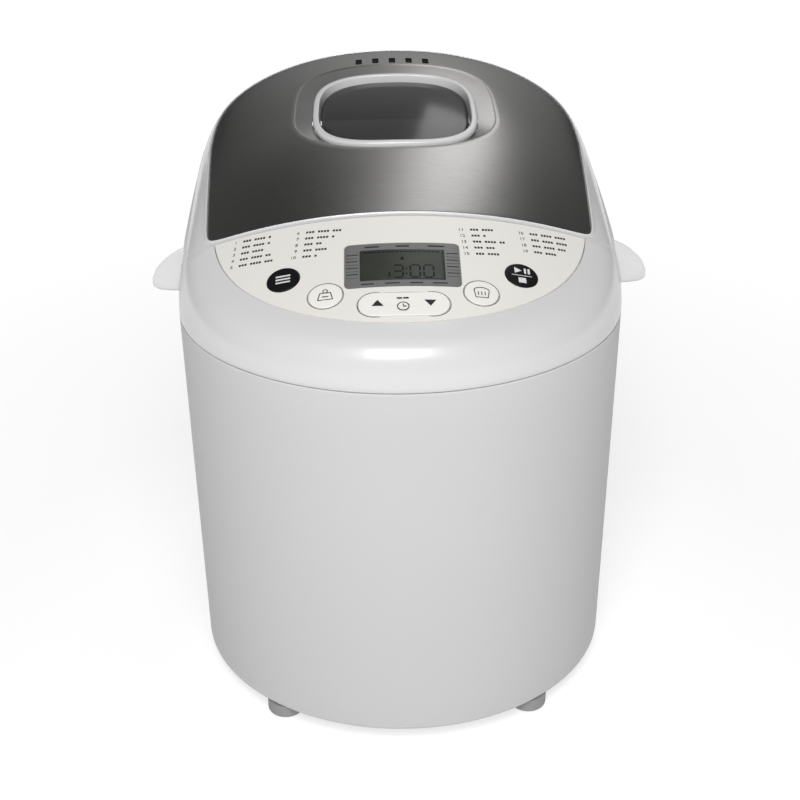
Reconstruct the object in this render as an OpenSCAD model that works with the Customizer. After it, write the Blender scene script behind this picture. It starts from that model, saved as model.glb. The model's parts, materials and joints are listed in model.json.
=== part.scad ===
// Countertop bread machine: an oven with a lift-out pan, a kneading drive, a hinged lid and a keypad.
// Frame: origin on the floor under the middle of the machine, +Z up, the control panel faces -Y.

/* [Body] */
// Width of the casing across its straight sides
body_w = 230; // [226:1:236]
// Depth from the widest point forward to the nose of the casing
nose_depth = 110; // [106:1:112]
// Depth from the centre of the rear corners back to the rear wall
tail_depth = 120; // [118:1:122]
// Roundness of the rear corners, where 2 is an ellipse
tail_power = 3.2; // [3:0.1:3.6]
// Height of the joint between casing and top housing
seam_z = 208; // [206:1:210]
// Height of the highest point of the lid
crest_z = 292.5; // [291:0.5:295]
// How much narrower the casing is at its bottom edge
draft = 0.02; // [0.01:0.005:0.03]
// Height of the rubber feet
foot_h = 8; // [7:0.5:9]
// Thickness of the moulded walls
wall = 2.2; // [2:0.1:2.6]

/* [Panel and lid] */
// Tilt of the control panel from the horizontal
panel_tilt = 19.8; // [19:0.1:20.5]
// Radius of the arch across the panel and the lid
arch_r = 265; // [260:1:270]
// Where the lid starts, on the centre line
lid_front_y = -67.5; // [-68.5:0.5:-66.5]
// How far the ends of the lid's front edge sweep back
lid_bow = 6; // [5:0.5:7]
// Width of the window in the lid
window_w = 91.5; // [90:0.5:93]
// Length of the window in the lid
window_l = 94; // [92:0.5:96]
// Number of steam vents behind the window
vent_count = 5; // [4:1:6]

/* [Oven and pan] */
// Inside width of the oven chamber
oven_w = 174; // [172:1:176]
// Inside length of the oven chamber
oven_l = 190; // [188:1:192]
// Outside width of the bread pan
pan_w = 120; // [118:1:122]
// Outside length of the bread pan
pan_l = 136; // [134:1:138]
// Height of the bread pan's rim above the floor
pan_top = 179; // [177:1:181]
// Reach of the pan's bail handle from its pivots
bail_reach = 44; // [42:1:45]

/* [Drive] */
// Radius of the large pulley
pulley_r = 45; // [43:1:46]
// Radius of the motor pulley
pinion_r = 9; // [8:0.5:10]
// Radius of the drive shaft
shaft_r = 4; // [3.5:0.1:4.5]
// Radial clearance of shafts that turn in a bush
running_gap = 0.05; // [0.03:0.01:0.08]

/* [Keys] */
// Radius of the round keys
key_r = 8.2; // [7.8:0.1:8.4]
// Height of the keys above the panel
key_proud = 0.5; // [0.4:0.1:0.8]
// Length of the time rocker
rocker_w = 43; // [41:1:44]
// Width of the time rocker
rocker_h = 15.6; // [15:0.2:16]

/* [Hidden] */
$fn = 64;

white = [0.93, 0.93, 0.94];
pearl = [0.88, 0.89, 0.91];
cream = [0.91, 0.90, 0.86];
steel = [0.56, 0.55, 0.54];
dark_steel = [0.36, 0.36, 0.37];
black = [0.06, 0.06, 0.07];
grey = [0.55, 0.55, 0.56];

half_w = body_w / 2;
waist_y = -50;              // widest point, where the nose ellipse begins
hub_y = 40;                 // centre of the oven, the pan and the kneading shaft
panel_y = -149;             // lower end of the panel on the centre line
panel_z = 232;
crest_y = 125;              // highest point of the lid
lid_curve = 1200;           // the lid falls away from the crest as (y - crest_y)^2 / lid_curve
roll_power = 30;            // how tightly the dome rolls over into the casing
rim_z = 230;                // joint between lid and housing at the rear corners
side_rim_z = 212;           // joint between lid and housing along the sides
hinge_lift = 14;            // how far the lid's rear skirt rises to clear the hinges
steps = 96;                 // sections around a shell
gap = 0.6;                  // joint width around the lid
deck_z = 224;
deck_t = 2;
hinge_y = 152;
hinge_z = 238;
hinge_x = 50;

// ---- Shared curves -----------------------------------------------------------------------------

function sq(v) = v * v;
function dir(a) = [cos(a), sin(a)];

// Fall of the arch across the width
function arch(x) = (arch_r - sqrt(sq(arch_r) - sq(x))) / cos(panel_tilt);

// Crown of the panel and the lid on the centre line
function crown(y) = y < lid_front_y
    ? panel_z + (y - panel_y) * tan(panel_tilt)
    : crest_z - sq(y - crest_y) / lid_curve;

// Distance from the hub to the casing's outline along angle a, solved zone by zone
function nose_hit(a, k = 1) = let (
        d = dir(a),
        qa = sq(d[0] / half_w) + sq(d[1] / nose_depth),
        qb = 2 * d[1] * (hub_y - waist_y) / sq(nose_depth),
        qc = sq((hub_y - waist_y) / nose_depth) - sq(k))
    (-qb + sqrt(sq(qb) - 4 * qa * qc)) / (2 * qa);
function outline_r(a) = let (d = dir(a))
    d[1] >= 0
    ? pow(pow(abs(d[0]) / half_w, tail_power) + pow(d[1] / tail_depth, tail_power), -1 / tail_power)
    : hub_y + d[1] * half_w / max(abs(d[0]), 0.001) >= waist_y ? half_w / abs(d[0]) : nose_hit(a);

// How far out a point lies, from 0 at the axis to 1 on the outline
function reach(x, y) = y >= hub_y
    ? pow(pow(abs(x) / half_w, tail_power) + pow((y - hub_y) / tail_depth, tail_power), 1 / tail_power)
    : y >= waist_y ? abs(x) / half_w
    : sqrt(sq(x / half_w) + sq((y - waist_y) / nose_depth));

// The dome that the top housing and the lid share
function dome(x, y) = seam_z
    + (crown(y) - arch(x) - seam_z) * sqrt(max(0, 1 - pow(reach(x, y), roll_power)));

// Closed curve about the hub: straight sides, tight front corners, soft rear corners, bowed front
function loop_hit(a, w, front, tail, power) = let (d = dir(a))
    pow(pow(abs(d[0]) / w, power) + pow(abs(d[1]) / (d[1] < 0 ? front : tail), power), -1 / power);
function loop_r(a, w, front, tail, taper = 0, corner = 18, pass = 4, r = 100) = pass == 0 ? r : let (
        d = dir(a),
        power = d[1] < 0 ? corner : tail_power,
        narrowed = w - taper * max(0, -r * d[1]),
        bowed = front - lid_bow * sq(r * d[0] / 97))
    loop_r(a, w, front, tail, taper, corner, pass - 1, loop_hit(a, narrowed, bowed, tail, power));

lid_w = half_w - 0.9;
lid_front = hub_y - lid_front_y;
lid_tail = tail_depth - 0.9;
steel_w = 103.5;            // half width of the steel cover at the hub
steel_tail = 106;           // from the hub back to the cover's rear edge
function lid_edge(a, inset = 0) = loop_r(a, lid_w - inset, lid_front - inset, lid_tail - inset);
steel_front = lid_front - 1.6;
steel_taper = 0.055;        // how much the cover narrows towards its front corners
steel_corner = 30;          // power of its tight front corners
function steel_edge(a, inset = 0) =
    loop_r(a, steel_w - inset, steel_front - inset, steel_tail - inset, steel_taper, steel_corner);
function at(r, a, z) = [r * cos(a), hub_y + r * sin(a), z];
function on_dome(r, a, drop = 0) = at(r, a, dome(r * cos(a), hub_y + r * sin(a)) - drop);

// Height of the joint along the lid's edge: it swoops down from the panel's corners, runs low along
// the sides and rises again before the rear corners
function ease(y, from, to) = sq(sin(90 * min(1, max(0, (y - from) / (to - from)))));
front_rise = 50;            // how far the joint would climb at the panel's corners
front_swoop = [-62, -48];   // Y where the joint comes down from the corners
rear_swoop = [60, 95];      // Y where it climbs to the rear corners
hinge_swoop = [134, 148];   // Y where the skirt lifts over the hinges
function joint_z(y) = side_rim_z + front_rise * (1 - ease(y, front_swoop[0], front_swoop[1]))
    + (rim_z - side_rim_z) * ease(y, rear_swoop[0], rear_swoop[1]);

// Lower edge of the lid's skirt, which lifts over the hinges at the rear
function skirt_z(a) = let (y = hub_y + lid_edge(a) * sin(a))
    min(rim_z, joint_z(y)) + 0.5 + hinge_lift * ease(y, hinge_swoop[0], hinge_swoop[1]);

// ---- Shared solids -----------------------------------------------------------------------------

// Closed skin over a list of equal sections; a ring of sections closes on itself, the others end in
// caps, which are triangles about the first point when the section is not flat
module loft(sections, ring = true, flat = true) {
    n = len(sections);
    k = len(sections[0]);
    sides = [for (i = [0 : n - (ring ? 1 : 2)], j = [0 : k - 1])
        let (a = i * k, b = ((i + 1) % n) * k, e = (j + 1) % k) [a + j, a + e, b + e, b + j]];
    last = (n - 1) * k;
    caps = ring ? []
        : flat ? [[for (j = [k - 1 : -1 : 0]) j], [for (j = [0 : k - 1]) last + j]]
        : [for (j = [1 : k - 2]) each [[0, j + 1, j], [last, last + j, last + j + 1]]];
    polyhedron(points = [for (s = sections) each s], faces = concat(sides, caps), convexity = 8);
}

// Dished plate: rings from the middle of the top out, over the edge and back under
module dish(top, rings, bottom) {
    n = len(rings[0]);
    m = len(rings);
    last = m * n + 1;
    faces = concat(
        [for (j = [0 : n - 1]) [0, 1 + j, 1 + (j + 1) % n]],
        [for (i = [0 : m - 2], j = [0 : n - 1]) let (a = 1 + i * n, b = a + n, e = (j + 1) % n)
            [a + j, b + j, b + e, a + e]],
        [for (j = [0 : n - 1]) [last, last - n + (j + 1) % n, last - n + j]]);
    polyhedron(points = concat([top], [for (r = rings) each r], [bottom]), faces = faces, convexity = 4);
}

module rrect(w, l, r) {
    square([w - 2 * r, l], center = true);
    square([w, l - 2 * r], center = true);
    for (x = [-1, 1], y = [-1, 1]) translate([x * (w / 2 - r), y * (l / 2 - r)]) circle(r);
}

module frame_2d(w, l, r, t) {
    difference() {
        rrect(w, l, r);
        rrect(w - 2 * t, l - 2 * t, r - t);
    }
}

module slab(z, h) translate([0, hub_y, z]) linear_extrude(h) children();

module tube(r, inner, h) {
    difference() {
        cylinder(r = r, h = h);
        translate([0, 0, -1]) cylinder(r = inner, h = h + 2);
    }
}

module screw(head_r, head_h, shank_r, length) {
    cylinder(r = head_r, h = head_h);
    cylinder(r = shank_r, h = length);
}

// Outline polygon, inset all round and narrowed as it is at height z
module plan(inset, z) {
    polygon([for (i = [0 : steps - 1]) let (a = i * 360 / steps)
        (outline_r(a) * shrink(z) - inset) * dir(a)]);
}
function shrink(z) = 1 - draft * (seam_z - z) / (seam_z - foot_h);

// Frame of the control panel: local z is the panel's normal, local y runs up the slope
module on_panel() translate([0, panel_y, panel_z]) rotate([panel_tilt, 0, 0]) children();
module on_key(k) on_panel()
    translate([0, k[1], -arch_r]) rotate([0, k[0], 0]) translate([0, 0, arch_r]) children();
module arch_shell(outer, t) {
    on_panel() translate([0, -30, -arch_r]) rotate([-90, 0, 0]) difference() {
        cylinder(r = arch_r - outer, h = 160, $fn = 180);
        translate([0, 0, -1]) cylinder(r = arch_r - outer - t, h = 162, $fn = 180);
    }
}

// Keys as [angle round the arch, distance up the slope]
menu_key = [-12.5, 46.5];
weight_key = [-8, 30.6];
colour_key = [8, 30.6];
start_key = [12.5, 46.5];
rocker_key = [0, 21.8];
round_keys = [menu_key, weight_key, colour_key, start_key];
display_y = 49.5;
display_w = 56;
display_h = 31;
overlay_t = 0.4;
fascia_t = 2.2;
key_fit = 0.25;
overlay_k = 0.82;           // lower edge of the overlay, as a share of the nose's outline
fascia_k = 0.822;
rocker_pivot = -5.2;        // height of the rocker's pivot against the panel surface
rocker_pin_r = 1.4;
rocker_push_x = 12.5;       // the rocker presses a switch this far either side of its pivot
board_y = 42;
board_z = -25;              // height of the control board against the panel surface
board_t = 1.6;
board_posts = [[-51, -12], [51, -12], [-44, 19], [44, 19]];
function sag(x) = arch_r - sqrt(sq(arch_r) - sq(x));

// Region between the lower edge arc and the lid, seen from the hub
module fascia_plan(k, back) {
    difference() {
        polygon([for (i = [0 : steps - 1]) let (a = i * 360 / steps)
            [k * half_w * cos(a), waist_y - hub_y + k * nose_depth * sin(a)]]);
        lid_plan(-back);
        translate([-half_w, -hub_y + waist_y + 5]) square([body_w, nose_depth]);
    }
}

module key_holes(extra) {
    for (k = round_keys) on_key(k) translate([0, 0, -6]) cylinder(r = key_r + extra, h = 10);
    on_key(rocker_key) translate([0, 0, -6]) linear_extrude(10)
        rrect(rocker_w + 2 * extra, rocker_h + 2 * extra, rocker_h / 2 + extra - 0.01);
}

// ---- Base --------------------------------------------------------------------------------------

foot_x = 65.5;
foot_ys = [-124, 118];
base_t = 2.5;
foot_r = 10;
module at_feet() for (x = [-foot_x, foot_x], y = foot_ys) translate([x, y, 0]) children();
post_xy = [[-42, -130], [42, -130], [-42, -68], [42, -68]];
frame_post_xy = [[-56, -5], [56, -5], [-56, 85], [56, 85]];
vent_pitch = 9;

module base_pan() {
    color(grey) difference() {
        union() {
            translate([0, hub_y, foot_h]) linear_extrude(base_t) plan(wall + 0.4, foot_h);
            translate([0, hub_y, foot_h]) linear_extrude(14) difference() {
                plan(wall + 0.4, foot_h);
                plan(wall + 2.6, foot_h);
            }
            at_feet() translate([0, 0, foot_h]) cylinder(r = 5, h = 12);
            for (p = concat(post_xy, frame_post_xy)) translate([p[0], p[1], foot_h]) tube(5.5, 2, 6);
        }
        at_feet() cylinder(r = 1.8, h = 40);
        for (i = [-4 : 4]) translate([i * vent_pitch - 2, 110, 0]) cube([4, 24, 20]);
    }
}

module rubber_feet() {
    color(grey) at_feet() difference() {
        rotate_extrude() union() {
            square([foot_r - 2, foot_h]);
            translate([0, 2]) square([foot_r, foot_h - 2]);
            translate([foot_r - 2, 2]) circle(2);
        }
        translate([0, 0, -1]) cylinder(r = 3.6, h = 5);
        cylinder(r = 1.8, h = 20);
    }
}

module base_screws() {
    color(steel) at_feet() translate([0, 0, 2]) screw(3.3, 1.9, 1.7, 16);
}

// ---- Casing ------------------------------------------------------------------------------------

split_a = 222.5;            // angle of the joint between front and rear casing, about the hub
function casing_section(a) = let (
        top = outline_r(a),
        low = top * shrink(foot_h))
    [at(low - 1.4, a, foot_h), at(low - 0.4, a, foot_h + 0.4), at(low, a, foot_h + 1.4),
     at(top, a, seam_z - 0.9), at(top - 0.5, a, seam_z - 0.3), at(top - wall, a, seam_z - 0.3),
     at(low - wall, a, foot_h + 1.4), at(low - wall, a, foot_h)];

module front_casing() {
    a0 = split_a + 0.12;
    a1 = 540 - split_a - 0.12;
    color(pearl) loft([for (i = [0 : 48]) casing_section(a0 + (a1 - a0) * i / 48)], ring = false);
}

inlet_x = 60;
inlet_z = 34;
module rear_casing() {
    a0 = 180 - split_a;
    a1 = split_a - 0.12;
    color(pearl) difference() {
        loft([for (i = [0 : 72]) casing_section(a0 + (a1 - a0) * i / 72)], ring = false);
        for (i = [-5 : 5]) translate([i * vent_pitch - 1.5, 140, 60]) cube([3, 40, 50]);
        translate([inlet_x, 130, inlet_z]) rotate([-90, 0, 0]) cylinder(r = 6.5, h = 50);
    }
}

// ---- Top housing -------------------------------------------------------------------------------

function housing_inner(a) = let (edge = lid_edge(a, -gap))
    sin(a) < 0 ? max(edge, min(nose_hit(a, fascia_k + 0.003), outline_r(a) - 0.3)) : edge;
roll_steps = [0, 0.12, 0.25, 0.4, 0.55, 0.7, 0.85, 1];

function housing_point(a, s) = let (
        outer = outline_r(a),
        r = outer - (outer - housing_inner(a)) * sq(s),
        cap = joint_z(hub_y + r * sin(a)),
        floor_z = seam_z + (min(cap, rim_z) - seam_z) * s)
    at(r, a, min(cap, max(floor_z, dome(r * cos(a), hub_y + r * sin(a)))));

// Outer skin up to the joint, then a lip and a step down to the casing's top edge
function housing_section(a) = let (
        outer = outline_r(a),
        inner = housing_inner(a),
        tip = housing_point(a, 1),
        under = max(seam_z + 0.6, min(tip[2], housing_point(a, 0.6)[2]) - 3.4),
        step = min(5, under - seam_z - 0.2))
    concat([for (s = roll_steps) housing_point(a, s)],
        [at(min(inner, outer - wall), a, tip[2] - 1.6),
         at(min(inner + 0.2, outer - wall - 0.1), a, under),
         at(outer - wall - 0.32 * step, a, seam_z + step), at(outer - wall, a, seam_z)]);

module top_housing() {
    color(white) loft([for (i = [0 : steps - 1]) housing_section(i * 360 / steps)]);
}

module lid_plan(inset) {
    polygon([for (i = [0 : steps - 1]) let (a = i * 360 / steps) lid_edge(a, inset) * dir(a)]);
}

// Deck between the housing and the oven: a ring with an upstand behind the panel
module deck_frame() {
    color(white) difference() {
        union() {
            slab(deck_z, deck_t) lid_plan(4.4);
            difference() {
                slab(deck_z, 5) difference() {
                    lid_plan(4.4);
                    lid_plan(6.4);
                }
                at_hinges() translate([-10, -14, deck_z + deck_t - hinge_z]) cube([20, 30, 10]);
            }
            intersection() {
                slab(deck_z, 60) difference() {
                    lid_plan(-2.4);
                    lid_plan(-0.9);
                }
                translate([-88, -80, deck_z]) cube([176, 40, 60]);
                on_panel() translate([0, -30, -arch_r]) rotate([-90, 0, 0])
                    cylinder(r = arch_r - overlay_t - fascia_t - 0.1, h = 160, $fn = 180);
            }
            slab(deck_z, deck_t) intersection() {
                lid_plan(-2.4);
                translate([-88, -120]) square([176, 30]);
            }
        }
        slab(deck_z - 1, deck_t + 2) rrect(oven_w - 2, oven_l - 2, 28);
    }
}

// Lift tab: a wing that stands out from the lid's side, flat underneath and thinner towards its tip
tab_reach = 129.5;
tab_low = 213.5;
tab_high = 237;
tab_front = -47.5;          // Y of its front edge at the root
tab_steps = 8;
function dome_x(y, z) = let (rise = (z - seam_z) / (crown(y) - arch(half_w - 3) - seam_z))
    min(lid_w, half_w * pow(1 - sq(max(0, rise)), 1 / roll_power)) + 0.2;
function tab_section(s) = let (
        front = tab_front + 3 * sq(s),
        back = -36 * s,
        depth = back - front,
        lean = 4 * (1 - s),
        low = tab_low + 2.5 * pow(s, 12),
        high = tab_high - 14 * pow(s, 1.4) - 3.5 * pow(s, 10),
        bevel = min(1, (high - low) / 4),
        profile = [
            [front + lean / 2 - 0.2, (low + high) / 2],
            [front + lean, high - bevel],
            [front + lean + bevel, high],
            [front + lean + bevel + 0.06 * depth, high - 0.06 * (high - low)],
            [front + 0.5 * depth, low + 0.42 * (high - low)],
            [back, low + bevel],
            [back - 0.6, low],
            [front, low],
            [front - 0.3, low + bevel]])
    [for (p = profile) [dome_x(p[0], p[1]) * (1 - s) + tab_reach * s, p[0], p[1]]];
module tab() loft([for (i = [0 : tab_steps]) tab_section(sin(90 * i / tab_steps))], false, false);
module right_lift_tab() color(white) tab();
module left_lift_tab() color(white) mirror([1, 0, 0]) tab();

// ---- Control panel -----------------------------------------------------------------------------

// Solid through the panel in the shape of the display, larger all over by w and h
module display_hole(w, h)
    on_panel() translate([0, display_y, -8]) linear_extrude(20) rrect(display_w + w, display_h + h, 3);

module control_fascia() {
    color(white) difference() {
        union() {
            intersection() {
                arch_shell(overlay_t, fascia_t);
                slab(200, 80) fascia_plan(fascia_k, gap);
            }
            for (p = board_posts) on_panel() translate([p[0], board_y + p[1], board_z + board_t + 0.1])
                cylinder(r = 3, h = -board_z - board_t - sag(p[0]) - overlay_t - 1);
            for (s = [-1, 1]) on_key(rocker_key)
                translate([-2.5, s * (rocker_h / 2 + 1.2) - 0.8, rocker_pivot - 2])
                    cube([5, 1.6, 5 - overlay_t]);
        }
        on_key(rocker_key) translate([0, 0, rocker_pivot]) rotate([90, 0, 0])
            cylinder(r = rocker_pin_r + running_gap, h = rocker_h + 10, center = true);
        key_holes(key_fit);
        display_hole(-6, -4);
    }
}

module control_overlay() {
    color(cream) difference() {
        intersection() {
            arch_shell(0, overlay_t);
            slab(200, 80) fascia_plan(overlay_k, 1.4);
        }
        key_holes(key_fit);
        display_hole(0.3, 0.3);
    }
}

module display_lens() {
    color(grey) intersection() {
        arch_shell(-0.15, overlay_t + 0.1);
        display_hole(0, 0);
    }
}

module display_module() {
    color(dark_steel) on_panel() translate([0, display_y, -8]) linear_extrude(4) rrect(48, 25, 1);
}

module control_board() {
    color("darkgreen") on_panel() translate([0, board_y, board_z]) difference() {
        translate([-62, -26, 0]) cube([124, 52, board_t]);
        for (p = board_posts) translate([p[0], p[1], -1]) cylinder(r = 1.6, h = 4);
    }
}

stem_end = -9.6;            // lower end of a key's stem
stem_r = 1.6;
switch_gap = 0.7;           // the key's free travel before its switch
module key_switches() {
    color(black) {
        for (k = round_keys) intersection() {
            on_key(k) translate([0, 0, stem_end - switch_gap - 18]) cylinder(r = 3, h = 18);
            on_panel() translate([-80, 0, board_z + board_t + 0.1]) cube([160, 90, 30]);
        }
        for (x = [-rocker_push_x, rocker_push_x]) on_panel()
            translate([x, rocker_key[1], board_z + board_t + 0.1])
                cylinder(r = 3, h = stem_end - switch_gap - board_z - board_t - 0.1);
    }
}

module round_key(k, tint) {
    color(tint) on_key(k) {
        translate([0, 0, -3]) cylinder(r = key_r, h = 3 + key_proud - 0.3);
        cylinder(r = key_r - 0.4, h = key_proud);
        translate([0, 0, -4.2]) cylinder(r = key_r + 1, h = 1.3);
        translate([0, 0, stem_end]) cylinder(r = stem_r, h = 6);
    }
}
module menu_button() round_key(menu_key, black);
module weight_button() round_key(weight_key, cream);
module colour_button() round_key(colour_key, cream);
module start_stop_button() round_key(start_key, black);

module time_rocker() {
    color(cream) on_key(rocker_key) {
        translate([0, 0, -3]) linear_extrude(3 + key_proud)
            rrect(rocker_w, rocker_h, rocker_h / 2 - 0.01);
        for (x = [-rocker_push_x, rocker_push_x]) translate([x, 0, stem_end]) cylinder(r = stem_r, h = 7);
        translate([0, 0, rocker_pivot]) rotate([90, 0, 0])
            cylinder(r = rocker_pin_r, h = rocker_h + 3.6, center = true);
        translate([-2, -rocker_h / 2 + 1, rocker_pivot]) cube([4, rocker_h - 2, 3]);
    }
}

// ---- Lid ---------------------------------------------------------------------------------------

// White frame: skirt, roll and the land that the steel cover lies in
function lid_frame_section(a) = let (
        edge = lid_edge(a),
        inner = steel_edge(a, -0.3),
        low = skirt_z(a),
        span = edge - inner,
        outer = [for (s = [0.05, 0.2, 0.4, 0.6, 0.8, 1]) let (p = on_dome(edge - span * sq(s), a))
            [p[0], p[1], max(p[2], low + 0.6 + 2 * s)]],
        last = outer[len(outer) - 1])
    concat([at(edge - 0.3, a, low), at(edge, a, low + 0.4)], outer,
        [last + [0, 0, -1.6], at(inner - 3.5, a, last[2] - 2.3), at(inner - 3.5, a, last[2] - 3.8),
         at(min(inner + 0.3, edge - wall - 0.6), a, last[2] - 4.4),
         at(edge - wall, a, max(low + 1, last[2] - 14)), at(edge - wall, a, low)]);

module lid_frame() {
    color(white) loft([for (i = [0 : steps - 1]) lid_frame_section(i * 360 / steps)]);
}

window_shift = 2.3;         // the window's centre lies this far behind the hub
function bowl_r(a, w, front, back, front_power, back_power) = let (
        d = dir(a),
        p = d[1] < 0 ? front_power : back_power)
    pow(pow(abs(d[0]) / w, p) + pow(abs(d[1]) / (d[1] < 0 ? front : back), p), -1 / p);
function window_r(a, inset = 0) = bowl_r(a, window_w / 2 - inset, window_l / 2 - window_shift - inset,
    window_l / 2 + window_shift - inset, 2.8, 3.6);
recess_w = 56;
recess_front = 48;
recess_back = 68;
recess_drop = 1.9;
function recess_r(a) = bowl_r(a, recess_w, recess_front, recess_back, 2.2, 4);

cover_t = 0.8;

// Steel cover: a sheet that follows the dome and dips in a shallow recess around the window
function cover_section(a) = let (
        outer = steel_edge(a),
        hole = window_r(a, -0.3),
        recess = recess_r(a),
        z0 = 0.15)
    [on_dome(outer, a, z0 + 0.9), on_dome(outer - 0.6, a, z0 + 0.2),
     for (s = [0.05, 0.3, 0.55, 0.8, 1]) on_dome(outer + (recess - outer) * s, a, z0),
     on_dome(hole, a, z0 + recess_drop), on_dome(hole, a, z0 + recess_drop + cover_t),
     for (s = [1, 0.7, 0.4, 0.03]) on_dome(outer + (recess - outer) * s, a, z0 + cover_t)];

vent_w = 3.8;
vent_l = 11;
vent_y = 117;
lid_vent_pitch = 10;
module lid_vents(top) {
    for (i = [0 : vent_count - 1]) translate([(i - (vent_count - 1) / 2) * lid_vent_pitch, vent_y, 270])
        linear_extrude(top) square([vent_w, vent_l], center = true);
}
module lid_cover() {
    color(steel) difference() {
        loft([for (i = [0 : steps - 1]) cover_section(i * 360 / steps)]);
        lid_vents(40);
    }
}

// White ring that stands a little proud of the steel and holds the outer glass
function ring_section(a) = let (r0 = window_r(a, 0), r1 = window_r(a, 3.4), r2 = window_r(a, 4.4))
    [on_dome(r0, a, 1.9), on_dome(r0 - 0.5, a, -0.2), on_dome(r0 - 1.2, a, -0.5),
        on_dome(r1 + 0.6, a, -0.4), on_dome(r1, a, 0.2), on_dome(r2, a, 4.6), on_dome(r2 + 0.2, a, 7),
        on_dome(r0 - 0.6, a, 7), on_dome(r0 - 0.6, a, 3)];
module window_ring() {
    color(white) loft([for (i = [0 : 71]) ring_section(i * 5)]);
}

module window_glass() {
    levels = [0.25, 0.5, 0.75, 1];
    function glass_ring(s, drop) =
        [for (a = [0 : 5 : 355]) on_dome(window_r(a, 4.8) * s, a, drop)];
    color([0.1, 0.1, 0.11, 0.5]) dish(on_dome(0, 0, 3.4),
        [for (s = levels) glass_ring(s, 3.4), for (i = [3 : -1 : 0]) glass_ring(levels[i], 6.2)],
        on_dome(0, 0, 6.2));
}

liner_z = 231;
liner_t = 1.4;
liner_rear = 102;           // from the hub to the straight rear edge, clear of the hinges
boss_xy = [[-98, -18], [98, -18], [-98, 90], [98, 90]];
module lid_liner() {
    color(steel) difference() {
        union() {
            slab(liner_z, liner_t) intersection() {
                lid_plan(3.4);
                translate([-body_w, -body_w]) square([2 * body_w, body_w + liner_rear]);
            }
            for (p = boss_xy) translate([p[0], p[1], liner_z]) cylinder(r = 4, h = 9);
        }
        slab(liner_z - 1, liner_t + 2) rrect(96, 96, 12);
        for (p = boss_xy) translate([p[0], p[1], liner_z - 1]) cylinder(r = 1.8, h = 20);
    }
}

module inner_glass() {
    color([0.7, 0.75, 0.75, 0.35]) slab(liner_z + liner_t + 0.1, 3) rrect(106, 106, 14);
}

module lid_gasket() {
    color([0.8, 0.35, 0.25]) slab(deck_z + deck_t + 0.3, liner_z - deck_z - deck_t - 0.4)
        frame_2d(oven_w + 14, oven_l + 6, 32, 4);
}

module lid_screws() {
    color(steel) for (p = boss_xy) translate([p[0], p[1], liner_z - 1.6]) screw(3.2, 1.5, 1.6, 10);
}

module at_hinges() for (x = [-hinge_x, hinge_x]) translate([x, hinge_y, hinge_z]) children();
pin_r = 2.5;
eye_r = 4.4;                // round eyes of the arms and the brackets
module hinge_pins() {
    color(steel) at_hinges() rotate([0, 90, 0]) cylinder(r = pin_r, h = 22, center = true);
}
module hinge_arms() {
    color(dark_steel) at_hinges() difference() {
        union() {
            rotate([0, 90, 0]) cylinder(r = eye_r, h = 7, center = true);
            translate([-3.5, -30, -5.4]) cube([7, 26.5, 3.2]);
            translate([-3.5, -6, -5.4]) cube([7, 6, 6]);
            translate([-9, -36, -5.4]) cube([18, 14, 3.2]);
        }
        rotate([0, 90, 0]) cylinder(r = pin_r + running_gap, h = 30, center = true);
    }
}
module hinge_brackets() {
    color(white) at_hinges() difference() {
        for (x = [-8.3, 4.3]) translate([x, 0, 0]) {
            rotate([0, 90, 0]) cylinder(r = eye_r, h = 4);
            translate([0, -eye_r, deck_z + deck_t - hinge_z]) cube([4, 5, hinge_z - deck_z - deck_t]);
        }
        rotate([0, 90, 0]) cylinder(r = pin_r + 0.02, h = 40, center = true);
    }
}

// ---- Oven --------------------------------------------------------------------------------------

oven_floor = 46;
sheet_t = 1.2;
element_z = 72;
element_r = 3.25;
terminal_x = 10;
module at_sensor() translate([55, hub_y + oven_l / 2, 120]) rotate([90, 0, 0]) children();
module oven_chamber() {
    color(steel) difference() {
        union() {
            slab(oven_floor, deck_z - oven_floor - 0.2)
                rrect(oven_w + 2 * sheet_t, oven_l + 2 * sheet_t, 31.2);
            slab(deck_z - 0.2 - sheet_t, sheet_t) rrect(oven_w + 12, oven_l + 10, 35);
        }
        slab(oven_floor + sheet_t, 300) rrect(oven_w, oven_l, 30);
        slab(oven_floor - 1, 10) circle(13);
        at_sensor() cylinder(r = 3.3, h = 20, center = true);
        for (x = [-1, 1]) translate([x * terminal_x, hub_y + oven_l / 2, element_z]) rotate([90, 0, 0])
            cylinder(r = element_r + 0.8, h = 20, center = true);
    }
}

element_w = 160;
element_l = 172;
corner_r = 30;
module bar(length) rotate([-90, 0, 0]) cylinder(r = element_r, h = length, center = true);

// Rod bent round the oven, with its two ends through the rear wall
module heating_element() {
    straight_w = element_w - 2 * corner_r;
    straight_l = element_l - 2 * corner_r;
    color(dark_steel) translate([0, hub_y, element_z]) {
        for (x = [-1, 1]) translate([x * element_w / 2, 0, 0]) bar(straight_l);
        translate([0, -element_l / 2, 0]) rotate([0, 0, 90]) bar(straight_w);
        for (x = [-1, 1]) translate([x * (straight_w / 4 + terminal_x / 2), element_l / 2, 0])
            rotate([0, 0, 90]) bar(straight_w / 2 - terminal_x);
        for (q = [0 : 3]) rotate([0, 0, q * 90])
            translate(q % 2 == 0
                ? [straight_w / 2, straight_l / 2, 0]
                : [straight_l / 2, straight_w / 2, 0])
                rotate_extrude(angle = 90) translate([corner_r, 0]) circle(element_r);
        for (x = [-1, 1]) translate([x * terminal_x, element_l / 2 + 5, 0]) bar(20);
    }
}

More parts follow.
